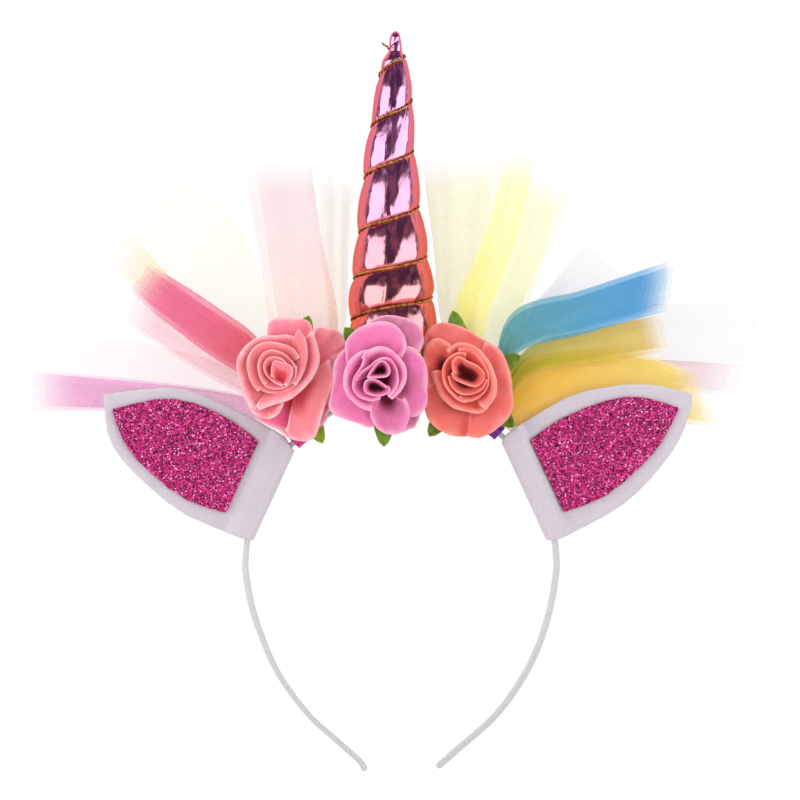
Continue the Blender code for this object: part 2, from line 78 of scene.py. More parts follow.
select_only()
bpy.ops.object.camera_add(location=(PHOTO_CENTRE[0], -CAMERA_DISTANCE, PHOTO_CENTRE[1]), rotation=(math.pi / 2, 0, 0))
camera = bpy.context.object
camera.data.lens = LENS
camera.data.sensor_width = 36
camera.data.clip_end = 20
bpy.context.scene.camera = camera
bpy.context.scene.view_settings.view_transform = "Standard"
bpy.context.scene.cycles.transparent_max_bounces = 32
print("camera at", tuple(round(x, 3) for x in camera.location))

# %% Soft boxes
# Columns: name, place, width, height, watts.
SOFT_BOXES = (
    ("soft_box_left", (-1.05, -0.62, 0.10), 1.5, 1.5, 10.5),
    ("soft_box_right", (1.00, -0.70, 0.10), 1.3, 1.3, 7.5),
    ("soft_box_top", (0.0, -0.25, 1.50), 1.0, 0.8, 7.5),
)
for name, place, width, height, watts in SOFT_BOXES:
    select_only()
    bpy.ops.object.light_add(type="AREA", location=place)
    box = bpy.context.object
    box.name = name
    box.rotation_euler = Vector(place).to_track_quat("Z", "Y").to_euler()
    box.data.shape = "RECTANGLE"
    box.data.size, box.data.size_y = width, height
    box.data.energy = watts
    box.visible_camera = False
    box.visible_glossy = False
print("soft boxes:", len(SOFT_BOXES))


# %% Shader helpers
def add_node(tree, kind, inputs=None, **settings):
    """A shader node whose inputs are numbers, colours or the sockets that feed them."""
    made = tree.nodes.new(kind)
    for key, value in settings.items():
        setattr(made, key, value)
    for key, value in (inputs or {}).items():
        if isinstance(value, bpy.types.NodeSocket):
            tree.links.new(value, made.inputs[key])
        else:
            made.inputs[key].default_value = value
    return made


def maths(tree, operation, *values, clamp=False):
    """One Math node, as a socket."""
    made = add_node(tree, "ShaderNodeMath", dict(enumerate(values)), operation=operation, use_clamp=clamp)
    return made.outputs[0]


def ranged(tree, value, low, high, to_low=0.0, to_high=1.0):
    """A value moved from one range to another with soft ends."""
    made = add_node(tree, "ShaderNodeMapRange", {0: value, 1: low, 2: high, 3: to_low, 4: to_high},
                    interpolation_type="SMOOTHSTEP")
    return made.outputs[0]


def mixed(tree, share, first, second):
    """Two colours mixed by a share."""
    made = add_node(tree, "ShaderNodeMix", {0: share, 6: first, 7: second}, data_type="RGBA")
    return made.outputs[2]


def colour(red, green, blue):
    """A colour given as it looks on a screen, from 0 to 255, as Blender's linear colour."""
    def linear(value):
        value /= 255
        return value / 12.92 if value <= 0.04045 else ((value + 0.055) / 1.055) ** 2.4
    return (linear(red), linear(green), linear(blue), 1.0)


# %% The room
ROOM_LIGHT = 0.58
CARD_LIGHT = (1.8, 3.7, 4.1)
ROOM_DARK = (0.08, 0.09, 0.20, 1.0)
ROOM_CLUTTER = (0.32, 0.34, 0.50, 1.0)
# In radians to the right of the front and up: where each card starts and ends. An edge given twice is a soft one.
LEFT_CARD_HEADING, LEFT_CARD_RISE = (-1.40, -0.34), (-0.95, 0.42)
RIGHT_CARD_START, RIGHT_CARD_END, RIGHT_CARD_RISE = (0.34, 0.42), (1.46, 1.54), (-0.95, 0.34)
RIGHT_CARD_SLANT = -0.85
BACK_WALL = (1.58, 1.72)
CEILING, CEILING_LIGHT = (0.95, 1.15), 0.30

world = bpy.data.worlds.new("studio")
world.use_nodes = True
bpy.context.scene.world = world
tree = world.node_tree
tree.nodes.clear()
direction = add_node(tree, "ShaderNodeTexCoord").outputs["Generated"]
x, y, z = add_node(tree, "ShaderNodeSeparateXYZ", {0: direction}).outputs
heading = maths(tree, "ARCTAN2", x, maths(tree, "MULTIPLY", y, -1.0))
rise = maths(tree, "ARCSINE", z)
slanted = maths(tree, "MULTIPLY_ADD", rise, RIGHT_CARD_SLANT, heading)
print("room:", ROOM_LIGHT, "cards:", CARD_LIGHT)


# %% Cards and walls
def between(value, low, high, soft):
    """One where a value lies between two limits, with soft ends."""
    return maths(tree, "MULTIPLY", ranged(tree, value, low - soft, low + soft),
                 ranged(tree, value, high - soft, high + soft, 1.0, 0.0))


left_card = maths(tree, "MULTIPLY", between(heading, *LEFT_CARD_HEADING, 0.04), between(rise, *LEFT_CARD_RISE, 0.05))
right_edge = maths(tree, "MULTIPLY", ranged(tree, slanted, *RIGHT_CARD_START),
                   ranged(tree, heading, *RIGHT_CARD_END, 1.0, 0.0))
right_card = maths(tree, "MULTIPLY", right_edge, between(rise, *RIGHT_CARD_RISE, 0.05))
cards = maths(tree, "ADD", left_card, right_card, clamp=True)
back_wall = ranged(tree, maths(tree, "ABSOLUTE", heading), *BACK_WALL)
ceiling = ranged(tree, rise, *CEILING, 0.0, CEILING_LIGHT)
bright = maths(tree, "MAXIMUM", back_wall, ceiling)
shining = add_node(tree, "ShaderNodeVectorMath", {0: CARD_LIGHT, "Scale": cards}, operation="SCALE").outputs[0]
walls = add_node(tree, "ShaderNodeVectorMath", {0: (1.0, 1.0, 1.0), "Scale": bright}, operation="SCALE").outputs[0]
walls = add_node(tree, "ShaderNodeVectorMath", {0: walls, 1: shining}, operation="MAXIMUM").outputs[0]
clutter = add_node(tree, "ShaderNodeTexNoise", {"Scale": 2.6, "Detail": 3.0}).outputs["Fac"]
dark = mixed(tree, ranged(tree, clutter, 0.50, 0.72), ROOM_DARK, ROOM_CLUTTER)
mirrored = add_node(tree, "ShaderNodeVectorMath", {0: walls, 1: dark}, operation="MAXIMUM").outputs[0]
print("cards and walls:", len(tree.nodes), "nodes")

# %% What each kind of ray sees
room = add_node(tree, "ShaderNodeBackground", {"Color": mirrored, "Strength": 1.0})
even = add_node(tree, "ShaderNodeBackground", {"Color": (1, 1, 1, 1), "Strength": ROOM_LIGHT})
plain = add_node(tree, "ShaderNodeBackground", {"Color": (1, 1, 1, 1), "Strength": 1.0})
rays = add_node(tree, "ShaderNodeLightPath").outputs
lit = add_node(tree, "ShaderNodeMixShader", {0: rays["Is Glossy Ray"], 1: even.outputs[0], 2: room.outputs[0]})
both = add_node(tree, "ShaderNodeMixShader", {0: rays["Is Camera Ray"], 1: lit.outputs[0], 2: plain.outputs[0]})
add_node(tree, "ShaderNodeOutputWorld", {"Surface": both.outputs[0]})
print("world:", len(tree.nodes), "nodes")


# %% Floor
def new_material(name, base, roughness, metallic=0.0):
    """A material with one Principled shader. Returns the material, its node tree and the shader."""
    material = bpy.data.materials.new(name)
    material.use_nodes = True
    shader = material.node_tree.nodes["Principled BSDF"]
    shader.inputs["Base Color"].default_value = base
    shader.inputs["Roughness"].default_value = roughness
    shader.inputs["Metallic"].default_value = metallic
    return material, material.node_tree, shader


def named(name):
    """Gives the active object and its mesh a name."""
    piece = bpy.context.object
    piece.name = piece.data.name = name
    return piece


FLOOR_HEIGHT = -0.19
FLOOR_RADIUS = 0.55
select_only()
bpy.ops.mesh.primitive_circle_add(vertices=96, radius=FLOOR_RADIUS, fill_type="NGON", location=(0, 0, FLOOR_HEIGHT))
floor = named("studio_floor")
floor_finish, tree, shader = new_material("floor_paint", colour(245, 245, 245), 0.9)
grit = add_node(tree, "ShaderNodeTexNoise", {"Scale": 40.0, "Detail": 4.0}).outputs["Fac"]
tree.links.new(mixed(tree, grit, colour(240, 240, 240), colour(250, 250, 250)), shader.inputs["Base Color"])
floor.data.materials.append(floor_finish)
print("floor at", FLOOR_HEIGHT)

# %% [markdown]
# ## Finishes that several materials share
#
# Felt, satin and petals are all made of fibres, all the net is woven alike, and the petals of the three roses have
# the same tones in different colours. Each such effect is a node group with named sockets, made once and placed in
# every material that needs it, so that one change reaches them all.


# %% Node group helper
def new_group(name, inputs, outputs):
    """An empty node group. Inputs and outputs are rows of name, socket type and, for inputs, the value."""
    group = bpy.data.node_groups.new(name, "ShaderNodeTree")
    for label, kind, value in inputs:
        socket = group.interface.new_socket(label, in_out="INPUT", socket_type=kind)
        if value is not None:
            socket.default_value = value
    for label, kind in outputs:
        group.interface.new_socket(label, in_out="OUTPUT", socket_type=kind)
    entry = group.nodes.new("NodeGroupInput").outputs
    exit_ = group.nodes.new("NodeGroupOutput").inputs
    return group, entry, exit_


def place_group(tree, group, inputs):
    """The group as a node in a material."""
    made = tree.nodes.new("ShaderNodeGroup")
    made.node_tree = group
    for key, value in inputs.items():
        if isinstance(value, bpy.types.NodeSocket):
            tree.links.new(value, made.inputs[key])
        else:
            made.inputs[key].default_value = value
    return made.outputs


FLOAT, VECTOR, RGBA = "NodeSocketFloat", "NodeSocketVector", "NodeSocketColor"

# %% Fibres
# Short fibres that lie every way: fine noise for the bump, and a slower drift that darkens the colour a little.
fibres, entry, exit_ = new_group(
    "fibres", (("Size", FLOAT, 900.0), ("Depth", FLOAT, 0.1), ("Colour", RGBA, None), ("Shade", FLOAT, 0.06)),
    (("Colour", RGBA), ("Normal", VECTOR)))
place = add_node(fibres, "ShaderNodeTexCoord").outputs["Object"]
fine = add_node(fibres, "ShaderNodeTexNoise", {"Vector": place, "Scale": entry["Size"], "Detail": 5.0,
                                               "Distortion": 1.2}).outputs["Fac"]
drift = add_node(fibres, "ShaderNodeTexNoise", {"Vector": place, "Scale": 90.0, "Detail": 3.0}).outputs["Fac"]
spots = maths(fibres, "MULTIPLY", maths(fibres, "SUBTRACT", fine, 0.5), 1.6)
spots = maths(fibres, "ADD", spots, maths(fibres, "SUBTRACT", drift, 0.5))
level = maths(fibres, "MULTIPLY_ADD", maths(fibres, "MULTIPLY", spots, entry["Shade"]), 2.0, 1.0)
tinted = add_node(fibres, "ShaderNodeVectorMath", {0: entry["Colour"], "Scale": level}, operation="SCALE")
bump = add_node(fibres, "ShaderNodeBump", {"Height": fine, "Strength": entry["Depth"], "Distance": 0.0004})
fibres.links.new(tinted.outputs[0], exit_["Colour"])
fibres.links.new(bump.outputs["Normal"], exit_["Normal"])
print("group:", fibres.name)


def cover_in_fibres(tree, shader, tone, size, depth, shade):
    """Lets the fibres set a material's colour and normal."""
    cloth = place_group(tree, fibres, {"Size": size, "Depth": depth, "Colour": tone, "Shade": shade})
    tree.links.new(cloth["Colour"], shader.inputs["Base Color"])
    tree.links.new(cloth["Normal"], shader.inputs["Normal"])



# %% Net
# Tulle is a net of six-sided holes. Three sets of thin lines, 60 degrees apart, make its threads. The UV map of
# every strip is in millimetres, so the holes have one size on all of them.
net, entry, exit_ = new_group("tulle_net", (("Weave", VECTOR, None), ("Pitch", FLOAT, 1.1), ("Thread", FLOAT, 0.3)),
                              (("Threads", FLOAT),))
parts = add_node(net, "ShaderNodeSeparateXYZ", {0: entry["Weave"]}).outputs
lines = []
for turn in (90, 30, -30):
    reach = maths(net, "ADD", maths(net, "MULTIPLY", parts[0], math.sin(math.radians(turn))),
                  maths(net, "MULTIPLY", parts[1], math.cos(math.radians(turn))))
    wave = maths(net, "PINGPONG", maths(net, "DIVIDE", reach, entry["Pitch"]), 0.5)
    lines.append(maths(net, "LESS_THAN", wave, maths(net, "MULTIPLY", entry["Thread"], 0.5)))
crossed = maths(net, "MAXIMUM", lines[0], maths(net, "MULTIPLY", maths(net, "MAXIMUM", lines[1], lines[2]), 0.4))
net.links.new(crossed, exit_["Threads"])
print("group:", net.name)

# %% Petal tones and painted shade
# A fabric petal gets a painted shade where it is folded away under the next cut, even over its middle, and it is
# pale along its cut edge. Each petal carries three attributes for this: how far up the petal a point is, how near it
# is to the free edge, and how much this petal leans to the rose's second colour.
petal_colour_and_painted_shade, entry, exit_ = new_group("petal_colour_and_painted_shade", (
    ("Painted shade", RGBA, None), ("Body", RGBA, None), ("Edge", RGBA, None), ("Second", RGBA, None), ("Paleness", FLOAT, 0.8)),
    (("Colour", RGBA), ("Height", FLOAT)))
up = add_node(petal_colour_and_painted_shade, "ShaderNodeAttribute", attribute_name="petal_up").outputs["Fac"]
rim = add_node(petal_colour_and_painted_shade, "ShaderNodeAttribute", attribute_name="petal_rim").outputs["Fac"]
other = add_node(petal_colour_and_painted_shade, "ShaderNodeAttribute", attribute_name="petal_other").outputs["Fac"]
place = add_node(petal_colour_and_painted_shade, "ShaderNodeTexCoord").outputs["Object"]
mottle = add_node(petal_colour_and_painted_shade, "ShaderNodeTexNoise", {"Vector": place, "Scale": 160.0, "Detail": 4.0}).outputs["Fac"]
veins = add_node(petal_colour_and_painted_shade, "ShaderNodeTexNoise", {"Vector": place, "Scale": 1400.0, "Detail": 3.0}).outputs["Fac"]
drift = maths(petal_colour_and_painted_shade, "SUBTRACT", mottle, 0.5)
main = mixed(petal_colour_and_painted_shade, maths(petal_colour_and_painted_shade, "MULTIPLY_ADD", drift, 1.5, other, clamp=True), entry["Body"],
             entry["Second"])
# Painted shade: low on each petal, where it goes under the next cut, the colour turns to the shade colour.
body = mixed(petal_colour_and_painted_shade, ranged(petal_colour_and_painted_shade, up, 0.30, 0.72), entry["Painted shade"], main)
wander = maths(petal_colour_and_painted_shade, "MULTIPLY_ADD", drift, 0.9, rim)
pale = maths(petal_colour_and_painted_shade, "MULTIPLY", ranged(petal_colour_and_painted_shade, wander, 0.25, 0.9), entry["Paleness"])
toned = mixed(petal_colour_and_painted_shade, pale, body, entry["Edge"])
petal_colour_and_painted_shade.links.new(toned, exit_["Colour"])
petal_colour_and_painted_shade.links.new(maths(petal_colour_and_painted_shade, "MULTIPLY_ADD", mottle, 2.0, veins), exit_["Height"])
print("group:", petal_colour_and_painted_shade.name)


# %% [markdown]
# ## The band
#
# A satin ribbon is wound round a narrow steel or plastic strip, each turn over the edge of the last. A tube would
# look like wire, so the cross-section is a flat oblong, and a low step that runs round it like a screw thread is the
# ribbon's edge. The centre line is half an ellipse and two legs that bend in. Each leg is twisted a little, so that
# its outer face shows beside its narrow front. Satin shines along its threads: its finish is a fine noise stretched
# across the ribbon, on the bump and on the roughness.

# %% Helpers for shaped pieces
def blend(first, second, share):
    return first + (second - first) * share


def smooth_path(points, steps):
    """Points along a smooth curve through the given points, with so many steps between each two."""
    ends = [points[0] * 2 - points[1], *points, points[-1] * 2 - points[-2]]
    path = []
    for before, start, end, after in zip(ends, ends[1:], ends[2:], ends[3:]):
        for step in range(steps):
            t = step / steps
            path.append(0.5 * (2 * start + (end - before) * t
                               + (2 * before - 5 * start + 4 * end - after) * t ** 2
                               + (3 * start - before - 3 * end + after) * t ** 3))
    return [*path, points[-1].copy()]


def along_path(path, share):
    """The point at this share of a path's points."""
    place = min(max(share, 0.0), 1.0) * (len(path) - 1)
    first = min(int(place), len(path) - 2)
    return blend(path[first], path[first + 1], place - first)


def shaped_grid(name, columns, rows, place):
    """A grid primitive whose points are moved to place(across, along), in millimetres, both from 0 to 1."""
    select_only()
    bpy.ops.mesh.primitive_grid_add(x_subdivisions=columns, y_subdivisions=rows, size=2, calc_uvs=True)
    piece = named(name)
    for vertex in piece.data.vertices:
        vertex.co = place((vertex.co.x + 1) / 2, (vertex.co.y + 1) / 2) * MM
    return piece


def size_uv(piece, width, length):
    """Stretches a grid's UV map to the cloth's size in millimetres, so that a weave has one size everywhere."""
    for loop in piece.data.uv_layers.active.data:
        loop.uv = (loop.uv[0] * width, loop.uv[1] * length)


def merge_points(piece, distance):
    """Opens a piece in edit mode, with all selected and the points that lie on each other made one."""
    select_only(piece)
    bpy.ops.object.mode_set(mode="EDIT")
    bpy.ops.mesh.select_mode(type="VERT")
    bpy.ops.mesh.select_all(action="SELECT")
    bpy.ops.mesh.remove_doubles(threshold=distance * MM)


def close_seam(piece, distance=0.02):
    """Joins the points that meet along a seam or at a pole, caps what is open and turns the faces outwards."""
    merge_points(piece, distance)
    bpy.ops.mesh.select_all(action="DESELECT")
    bpy.ops.mesh.select_mode(type="EDGE")
    bpy.ops.mesh.select_non_manifold(extend=False, use_wire=False, use_multi_face=False, use_non_contiguous=False,
                                     use_verts=False)
    if any(edge.select for edge in bmesh.from_edit_mesh(piece.data).edges):
        bpy.ops.mesh.fill()
    bpy.ops.mesh.select_all(action="SELECT")
    bpy.ops.mesh.normals_make_consistent(inside=False)
    bpy.ops.object.mode_set(mode="OBJECT")


def apply_modifier(piece, kind, **settings):
    """Adds a modifier with these settings and applies it."""
    select_only(piece)
    modifier = piece.modifiers.new(kind.lower(), kind)
    for key, value in settings.items():
        setattr(modifier, key, value)
    bpy.ops.object.modifier_apply(modifier=modifier.name)


def smooth_shading(piece, degrees=60):
    select_only(piece)
    bpy.ops.object.shade_smooth_by_angle(angle=math.radians(degrees))


def stand_for(piece, node, material):
    """The piece takes a node's place: it hides it, rides with it and has its slot's finish."""
    piece.data.materials.clear()
    piece.data.materials.append(material)
    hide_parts(node)
    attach(piece, "root")
    print(piece.name, len(piece.data.polygons), "faces")


def join_pieces(pieces, name):
    select_only(pieces[0])
    for piece in pieces:
        piece.select_set(True)
    if len(pieces) > 1:
        bpy.ops.object.join()
    return named(name)


def surface_area(piece):
    """The area of a piece's faces in square metres."""
    return sum(face.area for face in piece.data.polygons)


# %% The band's centre line
BAND_HALF_WIDTH = 3.5
BAND_HALF_THICKNESS = 1.1
ARCH_HALF_SPAN = 62.3
ARCH_HEIGHT = 70.1
ARCH_CENTRE_Z = BAND_HALF_THICKNESS - ARCH_HEIGHT
LEFT_LEG = ((-60.4, -80.5), (-56.8, -93.0), (-49.2, -110.4), (-37.2, -126.8), (-26.0, -137.1),
            (-16.8, -145.4), (-14.2, -149.4))
RIGHT_LEG = ((60.0, -83.0), (55.0, -99.6), (47.2, -114.8), (36.8, -128.4), (22.8, -140.8), (14.4, -148.2))
ARCH_POINTS = 120
LEG_POINTS = 10


def arch(x, outward=0.0):
    """The point of the band's arch at this x, moved outward, and the outward direction."""
    rise = math.sqrt(1 - (x / ARCH_HALF_SPAN) ** 2)
    outwards = Vector((x / ARCH_HALF_SPAN ** 2, 0, rise / ARCH_HEIGHT)).normalized()
    return Vector((x, 0, ARCH_CENTRE_Z + ARCH_HEIGHT * rise)) + outwards * outward, outwards


over_head = []
for step in range(ARCH_POINTS + 1):
    angle = math.pi * (step / ARCH_POINTS - 0.5)
    over_head.append(Vector((ARCH_HALF_SPAN * math.sin(angle), 0, ARCH_CENTRE_Z + ARCH_HEIGHT * math.cos(angle))))
legs = [smooth_path([start, *(Vector((x, 0, z)) for x, z in rows)], LEG_POINTS)
        for rows, start in ((LEFT_LEG, over_head[0]), (RIGHT_LEG, over_head[-1]))]
band_path = legs[0][:0:-1] + over_head + legs[1][1:]
band_length = sum((b - a).length for a, b in zip(band_path, band_path[1:]))
print("band:", round(band_length), "mm long")

# %% The ribbon on the band
RIBBON_PITCH = 6.5
RIBBON_STEP = 0.05
RIBBON_SLANT = 0.55
RIBBON_EDGE_SHARE = 0.12
END_ROUNDING = 2.0
# Share of the band's length from the left tip, and how many degrees its outer face is turned to the front there.
BAND_TWISTS = ((0.0, 7), (0.05, 5), (0.12, 2), (0.19, 8), (0.27, 10), (0.34, 0), (0.66, 0), (0.73, 9), (0.80, 10),
               (0.90, 11), (1.0, 10))
BAND_ROWS = 760
BAND_SIDES = 28


def rounded(value, power):
    return math.copysign(abs(value) ** power, value)


def band_twist(along):
    for (start, first), (end, second) in zip(BAND_TWISTS, BAND_TWISTS[1:]):
        if along <= end:
            return math.radians(blend(first, second, (along - start) / (end - start)))
    return math.radians(BAND_TWISTS[-1][1])


def on_band(around, along):
    point = along_path(band_path, along)
    ahead = along_path(band_path, along + 0.004) - along_path(band_path, along - 0.004)
    outwards = Vector((-ahead.z, 0, ahead.x)).normalized()
    twist = band_twist(along)
    thin_way = outwards * math.cos(twist) - Vector((0, 1, 0)) * math.sin(twist)
    wide_way = Vector((0, 1, 0)) * math.cos(twist) + outwards * math.sin(twist)
    travelled = along * band_length
    from_end = min(travelled, band_length - travelled)
    size = math.sqrt(max(0.0, 1 - (1 - min(1.0, from_end / END_ROUNDING)) ** 2))
    angle = 2 * math.pi * around
    turn = (travelled / RIBBON_PITCH + RIBBON_SLANT * math.sin(angle)) % 1.0
    step = RIBBON_STEP * (min(turn / (1 - RIBBON_EDGE_SHARE), (1 - turn) / RIBBON_EDGE_SHARE) - 0.6)
    out = rounded(math.cos(angle), 0.75) * (BAND_HALF_THICKNESS + step) * size
    deep = rounded(math.sin(angle), 0.55) * (BAND_HALF_WIDTH + step) * size
    return point + thin_way * out + wide_way * deep


ribbon = shaped_grid("band_ribbon", BAND_SIDES, BAND_ROWS, on_band)
size_uv(ribbon, 4 * BAND_HALF_WIDTH, band_length)
close_seam(ribbon)
smooth_shading(ribbon, 40)

# %% Satin
SATIN_TONE = colour(203, 198, 200)
satin, tree, shader = new_material("white_satin", SATIN_TONE, 0.42)
weave = add_node(tree, "ShaderNodeUVMap").outputs["UV"]
warp = add_node(tree, "ShaderNodeMapping", {"Vector": weave, "Scale": (6.0, 0.25, 1.0)}).outputs[0]
threads = add_node(tree, "ShaderNodeTexNoise", {"Vector": warp, "Scale": 1.0, "Detail": 3.0}).outputs["Fac"]
worn = place_group(tree, fibres, {"Size": 1400.0, "Depth": 0.06, "Colour": SATIN_TONE, "Shade": 0.03})
sheen_lines = add_node(tree, "ShaderNodeBump", {"Height": threads, "Strength": 0.05, "Distance": 0.0002,
                                                "Normal": worn["Normal"]})
tree.links.new(worn["Colour"], shader.inputs["Base Color"])
tree.links.new(sheen_lines.outputs["Normal"], shader.inputs["Normal"])
tree.links.new(ranged(tree, threads, 0.2, 0.8, 0.36, 0.50), shader.inputs["Roughness"])
shader.inputs["Sheen Weight"].default_value = 0.2
stand_for(ribbon, "band", satin)

# %% [markdown]
# ## The horn
#
# The horn is a cone of thin foil cloth, stuffed with wadding and drawn in by the gold cord that winds round it. It
# could be blown up with a cloth simulation, but the cord's turns are known one by one, so the padding is shaped
# directly: each point's radius is full between two turns of the cord and drawn in under it, and small creases run
# out of the cord's groove as the foil puckers there. The foil is a coloured metal, nearly a mirror, and a soft noise
# on its bump crinkles what it mirrors.

# %% Shape of the horn
# Height, x and y of the horn's middle line, which leans a little as the padding settles.
HORN_AXIS = ((0.0, -3.0, 3.0), (50.0, -3.7, 2.5), (80.0, -4.4, 2.2), (100.0, -4.3, 2.0), (117.0, -3.0, 1.8),
             (146.4, -2.2, 1.5))
HORN_TIP = 146.4
HORN_FOOT_LIFT = 1.4
# Columns: height where the cord crosses the front, radius of the padding half a turn above it.
HORN_TURNS = ((-24.0, 18.0), (-4.0, 18.2), (16.0, 18.0), (36.0, 17.2), (51.6, 14.8), (70.8, 12.2),
              (93.6, 9.6), (113.6, 7.4), (134.4, 2.8), (142.0, 2.0), (150.0, 1.6))
GROOVE_DEPTH = 2.2
GROOVE_SHARE = 0.18
PUFF_FULLNESS = 0.55
PUFF_SAG = 0.82
CREASE_DEPTH = 0.28
TIP_LENGTH = 3.0
HORN_SIDES = 96
HORN_ROWS = 26


def in_table(place, column):
    place = min(max(place, 0.0), len(HORN_TURNS) - 1.001)
    first = int(place)
    return blend(HORN_TURNS[first][column], HORN_TURNS[first + 1][column], place - first)


def horn_height(turn):
    return in_table(turn, 0)


def horn_radius(turn):
    return in_table(turn - 0.5, 1)


def groove_depth(turn):
    return min(GROOVE_DEPTH, GROOVE_SHARE * horn_radius(turn))


def horn_point(turn, around, radius):
    """A point at the height of this turn, at a share of a turn from the front towards +X."""
    height = min(horn_height(turn), HORN_TIP)
    angle = 2 * math.pi * around
    middle_x, middle_y = HORN_AXIS[0][1:]
    for (low, *start), (high, *end) in zip(HORN_AXIS, HORN_AXIS[1:]):
        if height > low:
            share = (height - low) / (high - low)
            share = share * share * (3 - 2 * share)
            middle_x, middle_y = blend(start[0], end[0], share), blend(start[1], end[1], share)
    return Vector((middle_x + radius * math.sin(angle), middle_y - radius * math.cos(angle), height))


def on_horn(across, along):
    phase = along * (len(HORN_TURNS) - 1)
    turn = phase + across
    if horn_height(turn) >= HORN_TIP:
        return horn_point(turn, across, 0.0)
    puff = abs(math.sin(math.pi * (phase % 1.0) ** PUFF_SAG)) ** PUFF_FULLNESS
    radius = horn_radius(turn) - groove_depth(turn) * (1 - puff)
    around = 2 * math.pi * across
    at = Vector((math.sin(around) * 3.2, math.cos(around) * 3.2, phase * 1.7))
    crease = noise.noise(at * 2.1) + 0.6 * noise.noise(at * 4.7)
    pulled = CREASE_DEPTH * min(1.0, horn_radius(turn) / 10) * crease * (0.25 + (1 - puff) * 1.6)
    from_tip = min(1.0, (HORN_TIP - horn_height(turn)) / TIP_LENGTH)
    point = horn_point(turn, across, (radius + pulled) * math.sqrt(1 - (1 - from_tip) ** 2))
    foot = arch(max(-60.0, min(60.0, point.x)), HORN_FOOT_LIFT)[0].z
    if point.z < foot:
        point.z = foot
    return point


horn = shaped_grid("horn_foil", HORN_SIDES, (len(HORN_TURNS) - 1) * HORN_ROWS, on_horn)
close_seam(horn, 0.01)
smooth_shading(horn, 80)

# %% Pink foil
foil, tree, shader = new_material("pink_foil", colour(235, 150, 190), 0.12, 1.0)
place = add_node(tree, "ShaderNodeTexCoord").outputs["Object"]
height = add_node(tree, "ShaderNodeSeparateXYZ", {0: place}).outputs[2]
# Low on the horn the pink turns coral: partly the foil's own tint, partly a painted reflection of the roses at its
# foot.
foil_tint_and_painted_reflection = mixed(tree, ranged(tree, height, 0.03, 0.11), colour(232, 116, 112), colour(230, 122, 148))
tree.links.new(foil_tint_and_painted_reflection, shader.inputs["Base Color"])
stretched = add_node(tree, "ShaderNodeMapping", {"Vector": place, "Scale": (1.0, 1.0, 0.45)}).outputs[0]
crinkle = add_node(tree, "ShaderNodeTexNoise", {"Vector": stretched, "Scale": 210.0, "Detail": 3.0,
                                                "Distortion": 0.6}).outputs["Fac"]
weft = add_node(tree, "ShaderNodeTexNoise", {"Vector": place, "Scale": 3200.0, "Detail": 1.0}).outputs["Fac"]
relief = maths(tree, "MULTIPLY_ADD", weft, 0.04, crinkle)
bump = add_node(tree, "ShaderNodeBump", {"Height": relief, "Strength": 0.35, "Distance": 0.0006})
tree.links.new(bump.outputs["Normal"], shader.inputs["Normal"])
tree.links.new(ranged(tree, crinkle, 0.3, 0.7, 0.10, 0.20), shader.inputs["Roughness"])
shader.inputs["Specular Tint"].default_value = colour(255, 190, 165)
stand_for(horn, "horn", foil)

# %% [markdown]
# ## The gold cord
#
# The cord is two strands twisted together. One smooth tube with ridges in its bump would be quicker, but the outline
# of so thin a cord is most of what shows. So each strand is a thin tube that circles the cord's own line, half a
# turn apart from the other, and the twist catches the light. It ends in a short loose tip.

# %% Route of the cord
CORD_FIRST_TURN = 1.5
CORD_LAST_TURN = 8.75
CORD_LIFT = 0.78
CORD_TAIL = ((-1.5, 0.8), (-2.6, 2.0))
STRAND_RADIUS = 0.29
STRAND_OFFSET = 0.26
TWIST_LENGTH = 2.6
STRAND_SIDES = 6
STEPS_PER_TWIST = 9

steps = round((CORD_LAST_TURN - CORD_FIRST_TURN) * 60)
cord_route = []
for step in range(steps + 1):
    turn = blend(CORD_FIRST_TURN, CORD_LAST_TURN, step / steps)
    cord_route.append(horn_point(turn, turn % 1.0, horn_radius(turn) - groove_depth(turn) + CORD_LIFT))
cord_route += smooth_path([cord_route[-1], *(cord_route[-1] + Vector((x, 0, z)) for x, z in CORD_TAIL)], 6)[1:]
travelled = [0.0]
for a, b in zip(cord_route, cord_route[1:]):
    travelled.append(travelled[-1] + (b - a).length)
cord_length = travelled[-1]
print("cord:", round(cord_length), "mm")


def at_length(length):
    """The point of the cord's line this far along it."""
    low, high = 0, len(travelled) - 1
    while high - low > 1:
        middle = (low + high) // 2
        if travelled[middle] <= length:
            low = middle
        else:
            high = middle
    share = (length - travelled[low]) / max(1e-9, travelled[high] - travelled[low])
    return blend(cord_route[low], cord_route[high], min(max(share, 0.0), 1.0))


# %% The two strands
def strand(name, start_angle):
    rows = round(cord_length / TWIST_LENGTH * STEPS_PER_TWIST)

    def place(around, along):
        length = along * cord_length
        line = at_length(length)
        ahead = (at_length(min(length + 0.4, cord_length)) - at_length(max(length - 0.4, 0.0))).normalized()
        side = ahead.cross(Vector((0, 0, 1))).normalized()
        up = side.cross(ahead)
        twist = start_angle + 2 * math.pi * length / TWIST_LENGTH
        centre = line + (side * math.cos(twist) + up * math.sin(twist)) * STRAND_OFFSET
        angle = 2 * math.pi * around
        taper = min(1.0, 0.15 + (cord_length - length) * 0.8, 0.15 + length * 0.8)
        return centre + (side * math.cos(angle) + up * math.sin(angle)) * STRAND_RADIUS * taper

    piece = shaped_grid(name, STRAND_SIDES, rows, place)
    close_seam(piece, 0.005)
    return piece


cord = join_pieces([strand("horn_thread", 0.0), strand("horn_thread_second", math.pi)], "horn_thread")
smooth_shading(cord, 80)

